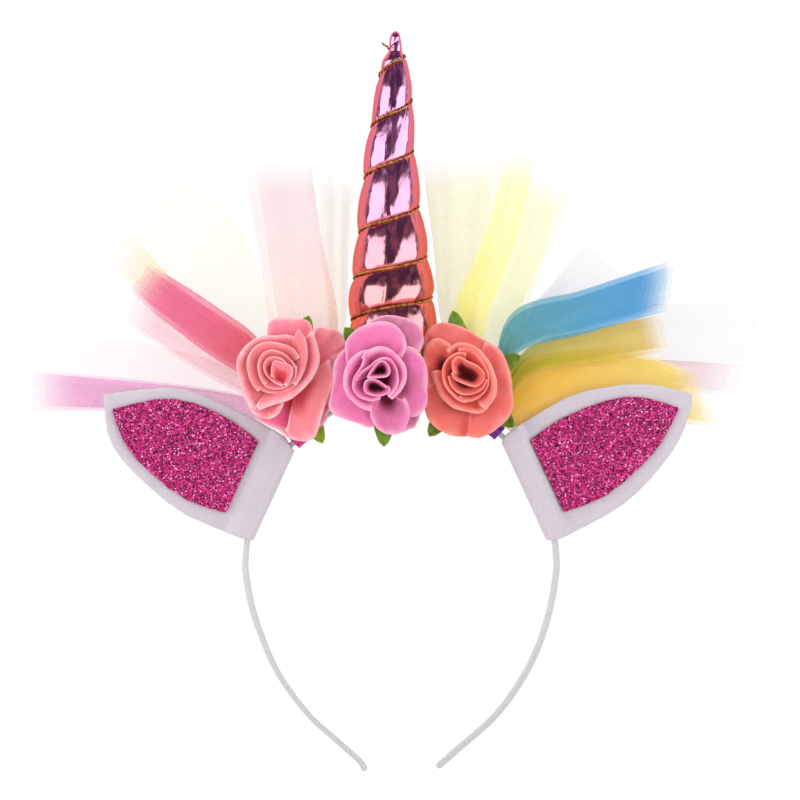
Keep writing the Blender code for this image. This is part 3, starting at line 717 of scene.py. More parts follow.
# %% Gold
gold, tree, shader = new_material("gold_thread", colour(196, 138, 62), 0.38, 0.85)
place = add_node(tree, "ShaderNodeTexCoord").outputs["Object"]
dirt = add_node(tree, "ShaderNodeTexNoise", {"Vector": place, "Scale": 700.0, "Detail": 3.0}).outputs["Fac"]
tree.links.new(mixed(tree, ranged(tree, dirt, 0.35, 0.65), colour(150, 84, 46), colour(238, 168, 92)),
               shader.inputs["Base Color"])
fray = place_group(tree, fibres, {"Size": 4000.0, "Depth": 0.4, "Colour": colour(200, 140, 70), "Shade": 0.1})
tree.links.new(fray["Normal"], shader.inputs["Normal"])
stand_for(cord, "horn_cord", gold)

# %% [markdown]
# ## The ears
#
# Each ear is one piece of white felt, folded round the band and glued to itself, with a panel of glitter cloth on
# the front. The solid in the frame already has the outline, so a copy of it is the pattern. A voxel remesh turns the
# hard solid into small even faces, as if it were cut from a soft block, and a few rounds of smoothing take off its
# sharp edges. Then a groove is pressed in along the rim, where the two glued plies meet, and the surface gets the
# small lumps of felt. A bevelled plate would be quicker, but its faces stay too flat for wool.

# %% Copying a solid and making it soft
def soft_copy(node, name, voxel, smoothing):
    """A copy of a node's mesh with its corners joined, made of small even faces and smoothed."""
    piece = bpy.data.objects.new(name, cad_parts[node].data.copy())
    bpy.context.scene.collection.objects.link(piece)
    merge_points(piece, 0.01)
    bpy.ops.object.mode_set(mode="OBJECT")
    apply_modifier(piece, "REMESH", mode="VOXEL", voxel_size=voxel * MM, adaptivity=0.0)
    if smoothing:
        apply_modifier(piece, "SMOOTH", factor=0.5, iterations=smoothing)
    return piece


# %% The felt
FELT_VOXEL = 0.6
FELT_SMOOTHING = 3
FELT_LUMPS = 0.06
PLY_LINE_REACH = 0.5
PLY_LINE_DEPTH = 0.35

felt_ears = {}
for side in ("left", "right"):
    ear = soft_copy(f"ear_felt_{side}", f"ear_{side}_felt", FELT_VOXEL, FELT_SMOOTHING)
    moves = []
    for vertex in ear.data.vertices:
        lump = noise.noise(vertex.co * 260) + 0.7 * noise.noise(vertex.co * 900)
        move = vertex.normal * lump * FELT_LUMPS
        if abs(vertex.normal.y) < 0.5 and abs(vertex.co.y) < PLY_LINE_REACH * MM:
            move -= vertex.normal * PLY_LINE_DEPTH * (1 - abs(vertex.co.y) / (PLY_LINE_REACH * MM))
        moves.append(move * MM)
    for vertex, move in zip(ear.data.vertices, moves):
        vertex.co += move
    smooth_shading(ear, 80)
    felt_ears[side] = ear
print("ears:", {side: len(ear.data.polygons) for side, ear in felt_ears.items()})

# %% Felt finish
FELT_TONE = colour(206, 196, 205)
felt, tree, shader = new_material("white_felt", FELT_TONE, 0.95)
cover_in_fibres(tree, shader, FELT_TONE, 1300.0, 0.5, 0.08)
shader.inputs["Sheen Weight"].default_value = 0.35
shader.inputs["Sheen Roughness"].default_value = 0.6
for side, ear in felt_ears.items():
    stand_for(ear, f"ear_felt_{side}", felt)

# %% The glitter panels
# A copy of each panel becomes a fine grid, and every point of its front is pushed a little out of place, so that
# each grain of glitter is a small facet that faces its own way.
GRAIN_SIZE = 0.45
GLITTER_JITTER = 0.17

panels = {}
for number, side in enumerate(felt_ears):
    panel = soft_copy(f"ear_glitter_{side}", f"ear_{side}_glitter", GRAIN_SIZE, 0)
    front = min(v.co.y for v in panel.data.vertices)
    random.seed(41 + number)
    for vertex in panel.data.vertices:
        push = Vector([random.uniform(-1, 1) for _ in range(3)])
        if vertex.co.y < front + 0.5 * MM:
            vertex.co += push * GLITTER_JITTER * MM
    panels[side] = panel
print("glitter:", {side: len(panel.data.polygons) for side, panel in panels.items()})

# %% Glitter finish
GRAIN = 1900.0
glitter, tree, shader = new_material("pink_glitter", colour(170, 20, 95), 0.3, 0.55)
place = add_node(tree, "ShaderNodeTexCoord").outputs["Object"]
grains = add_node(tree, "ShaderNodeTexVoronoi", {"Vector": place, "Scale": GRAIN}).outputs
pick = add_node(tree, "ShaderNodeSeparateColor", {0: grains["Color"]}).outputs
ramp = add_node(tree, "ShaderNodeValToRGB", {0: pick[0]})
ramp.color_ramp.interpolation = "CONSTANT"
stops = ramp.color_ramp.elements
stops.remove(stops[1])
stops[0].color = colour(88, 8, 46)
for share, tone in ((0.22, (166, 18, 82)), (0.50, (212, 34, 106)), (0.78, (240, 62, 138)), (0.94, (255, 150, 190))):
    stops.new(share).color = colour(*tone)
tree.links.new(ramp.outputs["Color"], shader.inputs["Base Color"])
tree.links.new(ranged(tree, pick[1], 0.0, 1.0, 0.15, 0.5), shader.inputs["Roughness"])
flake = add_node(tree, "ShaderNodeBump", {"Height": pick[2], "Strength": 0.5, "Distance": 0.0002})
tree.links.new(flake.outputs["Normal"], shader.inputs["Normal"])
for side, panel in panels.items():
    stand_for(panel, f"ear_glitter_{side}", glitter)

# %% [markdown]
# ## The roses
#
# A fabric rose is made of flower-shaped cuts, stacked and glued: the lowest lies open, the next stand up like a
# bowl, and the last is rolled into a bud. Each petal here is a small grid between two lines: the point that it grows
# from and its free edge. On the way it rises to the front, and at the edge it rolls back, because that rolled, paler
# edge is what makes such a rose readable. The free edges are drawn as tables of points, since no two petals of the
# real roses are alike. The petals of one cut are joined into one piece, which gets its thickness last.

# %% Where the petals are
ROSE_BACKS = {"left": -6.0, "centre": -15.4, "right": -6.0}
# Petals: how far the free edge stands in front of the rose's back, how much more at its end than at its middle, how
# steeply the petal rises, share of the second colour, x and z of the point that the petal grows from, x and z along
# its free edge.
ROSES = {
    "left": {
        "outer": (
            (3.6, 0.3, 0.7, 0.55, (-40.4, 2.0),
             ((-26.8, 2.0), (-27.6, -2.0), (-28.8, -6.0), (-30.8, -10.0), (-34.0, -13.2), (-37.2, -13.2))),
            (5.0, 0.0, 0.7, 0.35, (-43.6, 6.0),
             ((-54.8, 18.8), (-53.6, 25.2), (-52.4, 29.6), (-50.0, 31.2), (-44.0, 31.2), (-38.8, 30.8), (-35.6, 28.4),
              (-34.4, 23.6), (-34.8, 18.8))),
            (6.0, 0.6, 0.7, 0.15, (-42.8, 6.8),
             ((-35.6, 25.2), (-33.2, 28.4), (-28.8, 27.6), (-24.8, 26.0), (-22.4, 22.4), (-22.0, 19.2), (-24.4, 16.0),
              (-26.4, 13.2), (-27.2, 9.2))),
            (5.6, -0.4, 0.7, 0.95, (-46.0, 4.4),
             ((-61.2, -0.4), (-58.8, -4.8), (-56.8, -8.8), (-52.4, -11.2), (-48.0, -13.6), (-44.4, -16.4),
              (-39.6, -17.6), (-36.0, -16.4))),
            (8.4, 0.8, 0.6, 0.05, (-42.0, 5.2),
             ((-28.0, 14.8), (-27.6, 11.6), (-26.4, 6.8), (-27.6, 2.4), (-29.2, -2.0), (-31.2, -6.4), (-32.8, -11.2),
              (-34.4, -16.0), (-39.2, -17.2), (-43.6, -16.0), (-46.0, -12.4))),
        ),
        "middle": (
            (9.6, 1.0, 1.6, 0.05, (-48.8, 10.0),
             ((-39.6, 22.0), (-44.4, 24.0), (-49.6, 24.0), (-55.2, 23.6), (-59.6, 21.2), (-63.2, 17.6), (-64.8, 12.8),
              (-63.6, 7.2), (-62.4, 2.4), (-60.8, -1.6), (-57.6, -4.8))),
            (12.0, 1.2, 1.6, 0.05, (-48.0, 10.4),
             ((-35.6, 26.0), (-34.0, 20.8), (-33.2, 15.6), (-34.4, 10.8), (-36.8, 6.8), (-40.4, 3.2), (-44.4, 0.4),
              (-48.8, -1.2), (-53.2, -2.8), (-57.2, -4.4))),
            (10.2, 0.0, 0.8, 0.1, (-52.4, 0.4),
             ((-60.4, -2.0), (-58.4, -5.6), (-55.6, -7.6), (-52.0, -8.0), (-49.2, -6.0), (-47.2, -2.0))),
        ),
        "inner": (
            (12.8, 0.8, 1.6, 0.1, (-49.6, 10.4),
             ((-40.8, 26.8), (-38.8, 23.6), (-37.6, 18.8), (-38.0, 13.6), (-39.6, 8.8), (-42.4, 4.8))),
            (12.0, 0.6, 1.4, 0.0, (-49.6, 10.4),
             ((-40.4, 15.6), (-43.6, 19.2), (-48.4, 21.2), (-53.6, 21.6), (-58.0, 19.6), (-60.4, 15.6), (-60.8, 10.8),
              (-59.2, 6.0), (-56.4, 2.4))),
            (11.6, 0.4, 1.2, 0.1, (-49.6, 10.4),
             ((-58.8, 6.8), (-56.0, 3.2), (-51.6, 1.6), (-46.8, 2.0), (-42.8, 4.0), (-40.0, 7.6))),
        ),
        "bud": (
            (12.8, 0.6, 1.2, 0.0, (-49.6, 10.4),
             ((-42.0, 12.4), (-45.6, 16.4), (-50.4, 18.4), (-54.8, 17.2), (-56.8, 13.2), (-56.4, 8.8), (-54.0, 4.8))),
            (12.6, 0.5, 1.0, 0.05, (-49.6, 10.4),
             ((-56.4, 8.4), (-53.6, 4.4), (-49.2, 3.2), (-44.8, 4.4), (-42.0, 8.0), (-41.6, 12.4))),
            (13.6, 0.5, 0.8, 0.05, (-50.8, 9.2),
             ((-47.2, 4.4), (-50.8, 6.0), (-54.0, 9.2), (-54.4, 13.2), (-52.0, 15.6), (-48.0, 15.2), (-45.2, 13.2))),
            (14.8, -0.6, 0.5, 0.1, (-48.8, 4.8),
             ((-51.6, 8.0), (-51.6, 12.0), (-50.4, 14.4), (-47.2, 13.6), (-43.6, 12.0), (-43.6, 8.0), (-45.6, 4.4))),
        ),
    },
    "centre": {
        "outer": (
            (4.6, 0.4, 0.7, 1.0, (-5.2, 11.6),
             ((-16.4, 24.4), (-13.6, 28.4), (-10.0, 31.2), (-5.2, 32.8), (0.4, 31.6), (5.2, 29.6), (8.0, 26.4),
              (8.8, 21.6), (6.8, 17.2))),
            (5.4, 0.4, 0.7, 0.65, (-3.6, 5.2),
             ((9.2, -2.8), (7.6, -6.8), (6.0, -10.8), (2.8, -12.8), (-0.4, -13.6), (-2.8, -9.2))),
            (7.2, 0.8, 0.8, 0.0, (-8.0, 10.0),
             ((-20.8, 10.8), (-22.0, 16.4), (-22.0, 21.6), (-18.8, 25.6), (-13.6, 28.4), (-7.6, 29.6), (-2.4, 28.0),
              (0.8, 24.4), (2.0, 20.0), (0.4, 15.6))),
            (5.6, 1.4, 0.7, 0.15, (-9.2, 6.8),
             ((-20.8, 20.4), (-24.8, 16.4), (-26.8, 12.0), (-26.8, 6.8), (-27.6, 1.6), (-28.8, -3.6), (-26.0, -7.6),
              (-21.2, -8.8), (-16.4, -10.8), (-12.0, -12.0), (-9.2, -9.2))),
            (7.4, 0.7, 0.8, 0.35, (-6.0, 8.4),
             ((-1.2, 18.8), (3.2, 20.0), (6.8, 17.6), (9.2, 13.6), (10.4, 8.0), (10.0, 2.8), (10.0, -2.0),
              (8.0, -6.0), (4.8, -7.6), (1.2, -6.8))),
            (9.0, 0.0, 0.9, 0.45, (-6.4, 3.6),
             ((-10.0, -0.4), (-11.2, -4.8), (-10.8, -8.8), (-8.8, -12.4), (-4.8, -14.4), (-0.4, -14.0), (2.0, -10.8),
              (2.8, -5.6), (0.8, -0.4))),
        ),
        "middle": (
            (11.2, 0.8, 2.2, 0.0, (-9.2, 8.0),
             ((-10.8, 18.4), (-15.2, 17.6), (-18.8, 14.8), (-20.8, 10.8), (-22.0, 6.4), (-21.6, 2.4), (-19.2, -1.2),
              (-15.6, -3.6), (-11.6, -4.8))),
            (12.2, 1.0, 2.2, 0.05, (-9.2, 8.0),
             ((-15.6, 15.2), (-12.4, 18.0), (-7.6, 18.8), (-3.2, 17.2), (-0.4, 14.4), (1.2, 10.4), (0.8, 6.0),
              (-1.2, 2.8), (-4.0, -0.8))),
        ),
        "inner": (
            (13.4, 0.6, 2.4, 0.0, (-9.6, 7.6),
             ((-14.0, 18.0), (-14.8, 14.0), (-16.8, 10.4), (-18.8, 6.8), (-18.4, 2.8), (-16.0, 0.0), (-12.0, -1.2),
              (-8.0, -0.4))),
            (14.0, 0.8, 2.4, 0.1, (-9.2, 8.0),
             ((-18.0, 6.4), (-15.2, 10.0), (-12.0, 12.4), (-8.8, 14.8), (-5.2, 15.2), (-2.4, 12.8), (-1.2, 8.4),
              (-2.0, 3.6), (-4.8, 0.0))),
        ),
        "bud": (
            (15.2, 0.3, 2.2, 0.1, (-8.4, 10.8),
             ((-13.6, 7.6), (-11.6, 10.8), (-8.4, 14.4), (-5.6, 13.6), (-4.4, 10.4), (-5.6, 8.0), (-9.2, 7.6),
              (-13.2, 7.6))),
            (14.6, 0.3, 2.0, 0.05, (-10.4, 4.0),
             ((-5.2, 4.4), (-4.4, 2.4), (-6.8, 0.8), (-10.4, 0.4), (-14.0, 1.6), (-14.8, 4.4), (-13.6, 6.8),
              (-9.6, 6.8), (-5.2, 4.0))),
        ),
    },
    "right": {
        "outer": (
            (4.8, 0.6, 0.7, 0.55, (24.4, 6.8),
             ((9.6, 12.4), (8.8, 18.8), (9.2, 24.4), (12.0, 28.0), (16.8, 29.2), (22.0, 28.8), (26.4, 26.8),
              (30.8, 24.0), (35.6, 21.2), (39.2, 18.0), (38.4, 13.2))),
            (6.4, 0.4, 0.7, 0.45, (26.0, 5.2),
             ((33.2, 22.0), (38.0, 20.0), (40.8, 16.0), (42.8, 10.8), (44.0, 5.2), (44.4, -0.4), (44.4, -5.2),
              (42.0, -9.6), (38.0, -10.8))),
            (8.4, 0.6, 1.0, 0.0, (18.8, 10.0),
             ((10.8, 3.6), (9.2, 9.2), (8.8, 14.8), (9.6, 19.2), (12.4, 22.0), (16.0, 22.8), (19.2, 20.8),
              (21.2, 17.2))),
            (6.8, 0.4, 0.7, 0.35, (28.4, 3.6),
             ((44.4, -2.8), (42.4, -8.8), (38.8, -12.0), (35.2, -14.4), (31.2, -16.4), (28.2, -16.0),
              (26.2, -14.6))),
            (5.8, 1.5, 0.7, 0.1, (25.0, 3.6),
             ((29.6, -13.2), (28.0, -15.0), (24.8, -15.6), (19.6, -14.8), (15.6, -13.2), (12.0, -10.4), (10.0, -6.0),
              (9.6, -0.8), (10.8, 4.4), (14.0, 8.4))),
        ),
        "middle": (
            (11.0, 0.9, 2.0, 0.05, (25.2, 7.6),
             ((12.8, 10.4), (14.4, 6.0), (16.0, 1.6), (18.8, -1.6), (22.4, -4.4), (27.2, -5.6), (31.6, -5.6),
              (34.4, -3.6))),
            (12.0, 1.0, 2.0, 0.1, (25.2, 7.6),
             ((18.4, 18.0), (22.4, 20.8), (27.2, 20.4), (31.2, 18.4), (34.0, 14.4), (36.0, 10.0), (37.2, 5.2),
              (36.4, 0.4), (32.4, -4.4))),
        ),
        "inner": (
            (13.4, 0.8, 2.2, 0.05, (25.2, 7.6),
             ((26.0, 17.2), (22.0, 17.2), (18.4, 14.8), (16.8, 10.8), (17.2, 6.0), (19.6, 2.0), (23.2, -1.2),
              (26.0, -2.0))),
            (13.0, 0.6, 2.0, 0.1, (25.2, 7.6),
             ((22.8, 18.8), (26.8, 18.8), (30.4, 16.4), (33.2, 12.4), (34.8, 8.0), (34.4, 3.6), (31.2, 0.0),
              (26.8, -1.6), (22.8, -0.4))),
        ),
        "bud": (
            (15.0, 0.4, 2.0, 0.1, (26.0, 8.4),
             ((20.8, 9.2), (20.4, 14.0), (23.2, 16.0), (26.4, 14.0), (30.4, 12.4), (33.2, 9.2), (32.4, 6.0),
              (29.6, 4.0), (25.2, 5.2), (21.6, 6.8), (20.0, 9.6))),
            (14.2, 0.3, 1.4, 0.05, (26.0, 7.6),
             ((18.8, 8.4), (20.4, 4.0), (24.0, 1.2), (28.4, 1.2), (32.4, 3.2), (34.4, 6.8))),
        ),
    },
}
# How far the petal's foot is in front of the back, where it starts on the way to its edge, how much its middle
# bulges, how much it waves, radius and angle of the rolled edge, how soon its painted shade ends, how narrow its pale
# rim is, how uneven its free edge is.
WHORLS = {
    "outer": {"foot": 2.0, "start": 0.12, "bulge": 1.1, "waves": 1.6, "roll": 1.1, "turn": 120, "deep": 0.85,
              "fade": 3.0, "ruffle": 0.65},
    "middle": {"foot": 4.0, "start": 0.10, "bulge": 0.3, "waves": 0.8, "roll": 1.4, "turn": 150, "deep": 1.3,
               "fade": 4.5, "ruffle": 0.45},
    "inner": {"foot": 5.5, "start": 0.08, "bulge": 0.2, "waves": 0.7, "roll": 0.65, "turn": 150, "deep": 1.6,
              "fade": 6.0, "ruffle": 0.35},
    "bud": {"foot": 6.0, "start": 0.08, "bulge": 0.1, "waves": 0.5, "roll": 0.48, "turn": 130, "deep": 1.9,
            "fade": 6.0, "ruffle": 0.3},
}
PETAL_COLUMNS = 26
PETAL_ROWS = 18
ROLL_FROM = 0.76
PETAL_THICKNESS = 0.4


# %% One petal
def mark_petal(piece, **marks):
    """Stores numbers for each point as attributes."""
    for label, values in marks.items():
        attribute = piece.data.attributes.new(label, "FLOAT", "POINT")
        attribute.data.foreach_set("value", values)


def make_petal(name, side, form, petal, seed):
    front, lift, steep, other, root, rim_points = petal
    root = Vector((root[0], 0, root[1]))
    edge_line = smooth_path([Vector((x, 0, z)) for x, z in rim_points], 6)
    up, rim = [], []

    def place(across, along):
        way = 2 * across - 1
        edge = along_path(edge_line, across)
        ahead = along_path(edge_line, across + 0.03) - along_path(edge_line, across - 0.03)
        outwards = Vector((-ahead.z, 0, ahead.x)).normalized()
        if outwards.dot(edge - root) < 0:
            outwards = -outwards
        wave = noise.noise(Vector((way * 2.6, seed * 3.7, 0.0))) + 0.5 * noise.noise(Vector((way * 6.1, seed, 3.0)))
        roll = form["roll"] * (1 + 0.5 * noise.noise(Vector((way * 1.7, 9.0, seed * 2.3))))
        edge = edge + outwards * (form["ruffle"] * wave - roll)
        reach = (edge - root).length
        share = min(1.0, along / ROLL_FROM)
        point = root + (edge - root) * blend(form["start"], 1.0, share)
        rise = front + lift * way - form["foot"]
        out = form["foot"] + rise * share ** steep
        out += form["bulge"] * (1 - way ** 2) * 4 * share * (1 - share) * (1 - 0.4 * share)
        crumple = noise.noise(Vector((way * 1.9, along * 2.2, seed * 5.1)))
        crumple += 0.5 * noise.noise(Vector((way * 5.3, along * 4.0, seed * 2.7)))
        out += form["waves"] * crumple * share
        if along > ROLL_FROM:
            slope = rise * steep / max(1.0, reach)
            length = math.hypot(1.0, slope)
            bend = math.radians(form["turn"]) * (along - ROLL_FROM) / (1 - ROLL_FROM)
            bend *= 0.8 + 0.5 * noise.noise(Vector((way * 1.4, 4.0, seed * 1.9)))
            point += outwards * roll * (math.sin(bend) + (1 - math.cos(bend)) * slope) / length
            out += roll * (math.sin(bend) * slope - (1 - math.cos(bend))) / length
        up.append(share ** form["deep"])
        rim.append(max(along ** form["fade"], abs(way) ** 12 * share))
        return Vector((point.x, ROSE_BACKS[side] - out, point.z))

    piece = shaped_grid(name, PETAL_COLUMNS, PETAL_ROWS, place)
    mark_petal(piece, petal_up=up, petal_rim=rim, petal_other=[other] * len(up))
    return piece


# %% The middle of a cut
MIDDLE_RADIUS = 2.6


def facing_disc(name, radius, place, corners):
    """A flat round piece that faces the front."""
    select_only()
    bpy.ops.mesh.primitive_circle_add(vertices=corners, radius=radius * MM, fill_type="NGON",
                                      location=[part * MM for part in place], rotation=(math.pi / 2, 0, 0))
    bpy.ops.object.transform_apply(location=True, rotation=True, scale=True)
    return named(name)


def make_middle(side, form, root):
    """The round middle of a cut, where its petals are joined."""
    piece = facing_disc("cut_middle", MIDDLE_RADIUS, (root[0], ROSE_BACKS[side] - form["foot"], root[1]), 24)
    # With no height up a petal, the whole disc takes the painted shade colour.
    none = [0.0] * len(piece.data.vertices)
    mark_petal(piece, petal_up=none, petal_rim=none, petal_other=none)
    return piece


# %% Joining petals into cuts
rose_cuts = {}
for side, rose in ROSES.items():
    for whorl, form in WHORLS.items():
        petals = [make_petal(f"petal_{number}", side, form, petal, number + 10 * len(rose_cuts))
                  for number, petal in enumerate(rose[whorl])]
        petals.append(make_middle(side, form, rose[whorl][-1][4]))
        rose_cuts[side, whorl] = join_pieces(petals, f"rose_{side}_{whorl}_petals")
cut_areas = {key: surface_area(piece) for key, piece in rose_cuts.items()}
for piece in rose_cuts.values():
    apply_modifier(piece, "SOLIDIFY", thickness=PETAL_THICKNESS * MM, offset=0.0, use_even_offset=False)
    apply_modifier(piece, "SUBSURF", levels=1, render_levels=1)
    smooth_shading(piece, 85)
print("roses:", {"_".join(key): round(area * 1e6) for key, area in cut_areas.items()}, "mm2")

# %% Petal finishes
PETALS_SHARE_OF_SQUARE = 0.7
# Per rose: the painted shade colour for where petals go under the next cut, then body, pale edge and second colour.
ROSE_TONES = {
    "left": (colour(226, 78, 92), colour(248, 136, 144), colour(255, 208, 212), colour(250, 100, 150)),
    "centre": (colour(112, 0, 44), colour(242, 124, 182), colour(255, 186, 212), colour(206, 112, 148)),
    "right": (colour(122, 4, 8), colour(248, 112, 102), colour(255, 168, 154), colour(236, 118, 118)),
}
for side, (deep, body, edge, second) in ROSE_TONES.items():
    petal_finish, tree, shader = new_material(f"petal_{side}", body, 0.8)
    tones = place_group(tree, petal_colour_and_painted_shade, {"Painted shade": deep, "Body": body, "Edge": edge, "Second": second,
                                           "Paleness": 0.8})
    cloth = place_group(tree, fibres, {"Size": 1500.0, "Depth": 0.3, "Colour": tones["Colour"], "Shade": 0.08})
    bump = add_node(tree, "ShaderNodeBump", {"Height": tones["Height"], "Strength": 0.25, "Distance": 0.0005,
                                             "Normal": cloth["Normal"]})
    tree.links.new(cloth["Colour"], shader.inputs["Base Color"])
    tree.links.new(bump.outputs["Normal"], shader.inputs["Normal"])
    shader.inputs["Sheen Weight"].default_value = 0.15
    for (rose_side, whorl), piece in rose_cuts.items():
        if rose_side == side:
            stand_for(piece, f"rose_{side}_{whorl}", petal_finish)
            area = cut_areas[side, whorl]
            width = round(math.sqrt(area / PETALS_SHARE_OF_SQUARE), 3)

# %% [markdown]
# ## The green leaves
#
# Under each rose is a small green star, whose points show between the petals. It could be cut from a flat disc, but
# a point is a leaf with a fold down its middle. So each one is a grid that narrows to its tip and bends forward a
# little, and a round hub joins them. Their green goes in patches from olive to yellow.

# %% Leaves
# x and z of the star's middle, then of the tips of its leaves.
LEAVES = {
    "left": ((-44.4, 6.8), ((-31.2, -18.4), (-36.8, 32.4), (-55.6, 20.8), (-57.2, -1.2))),
    "centre": ((-6.8, 6.8), ((-6.8, -19.6), (-22.4, 27.6), (7.6, 18.8), (-20.4, -5.2))),
    "right": ((26.8, 6.0), ((20.8, 34.4), (47.6, 16.4), (11.2, -15.6), (44.8, -12.0))),
}
LEAF_HALF_WIDTH = 4.4
LEAF_FOLD = 0.8
LEAF_THICKNESS = 0.5
LEAF_HUB_RADIUS = 5
LEAF_HUB_LIFT = 0.7
LEAVES_SHARE_OF_SQUARE = 0.5


def make_leaf(name, side, middle, tip, seed):
    reach = (tip - middle).length
    ahead = (tip - middle).normalized()
    across_way = Vector((-ahead.z, 0, ahead.x))

    def place(across, along):
        way = 2 * across - 1
        width = LEAF_HALF_WIDTH * (0.45 + 0.55 * math.sin(math.pi * min(1.0, along * 0.9)))
        width *= math.sqrt(max(0.0, 1 - along ** 6)) + 0.02
        spot = middle + ahead * reach * along + across_way * width * way
        out = 0.6 + LEAF_FOLD * abs(way) + 1.6 * along ** 2 + 0.4 * noise.noise(Vector((seed, along * 3, way)))
        return Vector((spot.x, ROSE_BACKS[side] - out, spot.z))

    return shaped_grid(name, 8, 18, place)


leaf_pieces, leaf_areas = {}, {}
for side, (middle, tips) in LEAVES.items():
    middle = Vector((middle[0], 0, middle[1]))
    leaves = [make_leaf(f"leaf_{number}", side, middle, Vector((x, 0, z)), number * 2.7)
              for number, (x, z) in enumerate(tips)]
    hub = facing_disc("leaf_hub", LEAF_HUB_RADIUS, (middle.x, ROSE_BACKS[side] - LEAF_HUB_LIFT, middle.z), 32)
    leaf_pieces[side] = join_pieces([*leaves, hub], f"calyx_{side}_leaves")
    leaf_areas[side] = surface_area(leaf_pieces[side])
    apply_modifier(leaf_pieces[side], "SOLIDIFY", thickness=LEAF_THICKNESS * MM, offset=0.0)
    smooth_shading(leaf_pieces[side], 50)
print("leaves:", {side: round(area * 1e6) for side, area in leaf_areas.items()}, "mm2")

# %% Leaf finish
leaf_finish, tree, shader = new_material("green_leaf", colour(120, 165, 40), 0.6)
place = add_node(tree, "ShaderNodeTexCoord").outputs["Object"]
patches = add_node(tree, "ShaderNodeTexNoise", {"Vector": place, "Scale": 60.0, "Detail": 4.0}).outputs["Fac"]
green = mixed(tree, ranged(tree, patches, 0.35, 0.65), colour(84, 112, 26), colour(156, 186, 44))
cover_in_fibres(tree, shader, green, 1200.0, 0.3, 0.1)
for side, piece in leaf_pieces.items():
    stand_for(piece, f"calyx_{side}", leaf_finish)
    width = round(math.sqrt(leaf_areas[side] / LEAVES_SHARE_OF_SQUARE), 3)

# %% [markdown]
# ## The tulle
#
# Tulle is a fine net. Each fan is a bunch of strips, gathered at the band and cut off square, and most strips are
# folded along their length, so that two to four layers of net lie on each other: that is what makes some of them
# strong in colour and others hardly visible. Each strip is a sheet that goes to and fro between its fold lines, with
# soft pleats that grow outwards. The net is real open weave in the material, so the layers add up as they do on a
# table. The UV map is in millimetres of cloth, which keeps the holes the same size on all strips.

# %% The strips
WRAP_CLEARANCE = 0.6
WRAP_WALL = 1.7
GAP = 0.3
ROOT_LINES = {"left": (-40.5, -32.0), "right": (39.0, 31.5)}
TULLE_FRONT = -3.1
LAYER_STEP = 1.36
LAYER_SPREAD = 0.02
FAN_LEAN = 0.03
PLEAT_RISE = 0.007
FOLD_DEPTH = 1.1
SHORTER_LAYER = 0.018
FRAY = 0.012
STRIP_COLUMNS_PER_LAYER = 14
STRIP_ROWS = 44
FOLD_LINES = {1: (0.0, 1.0), 2: (0.0, 1.0, 0.14), 3: (0.0, 0.93, 0.09, 1.0), 4: (0.09, 1.0, 0.0, 0.88, 0.14)}
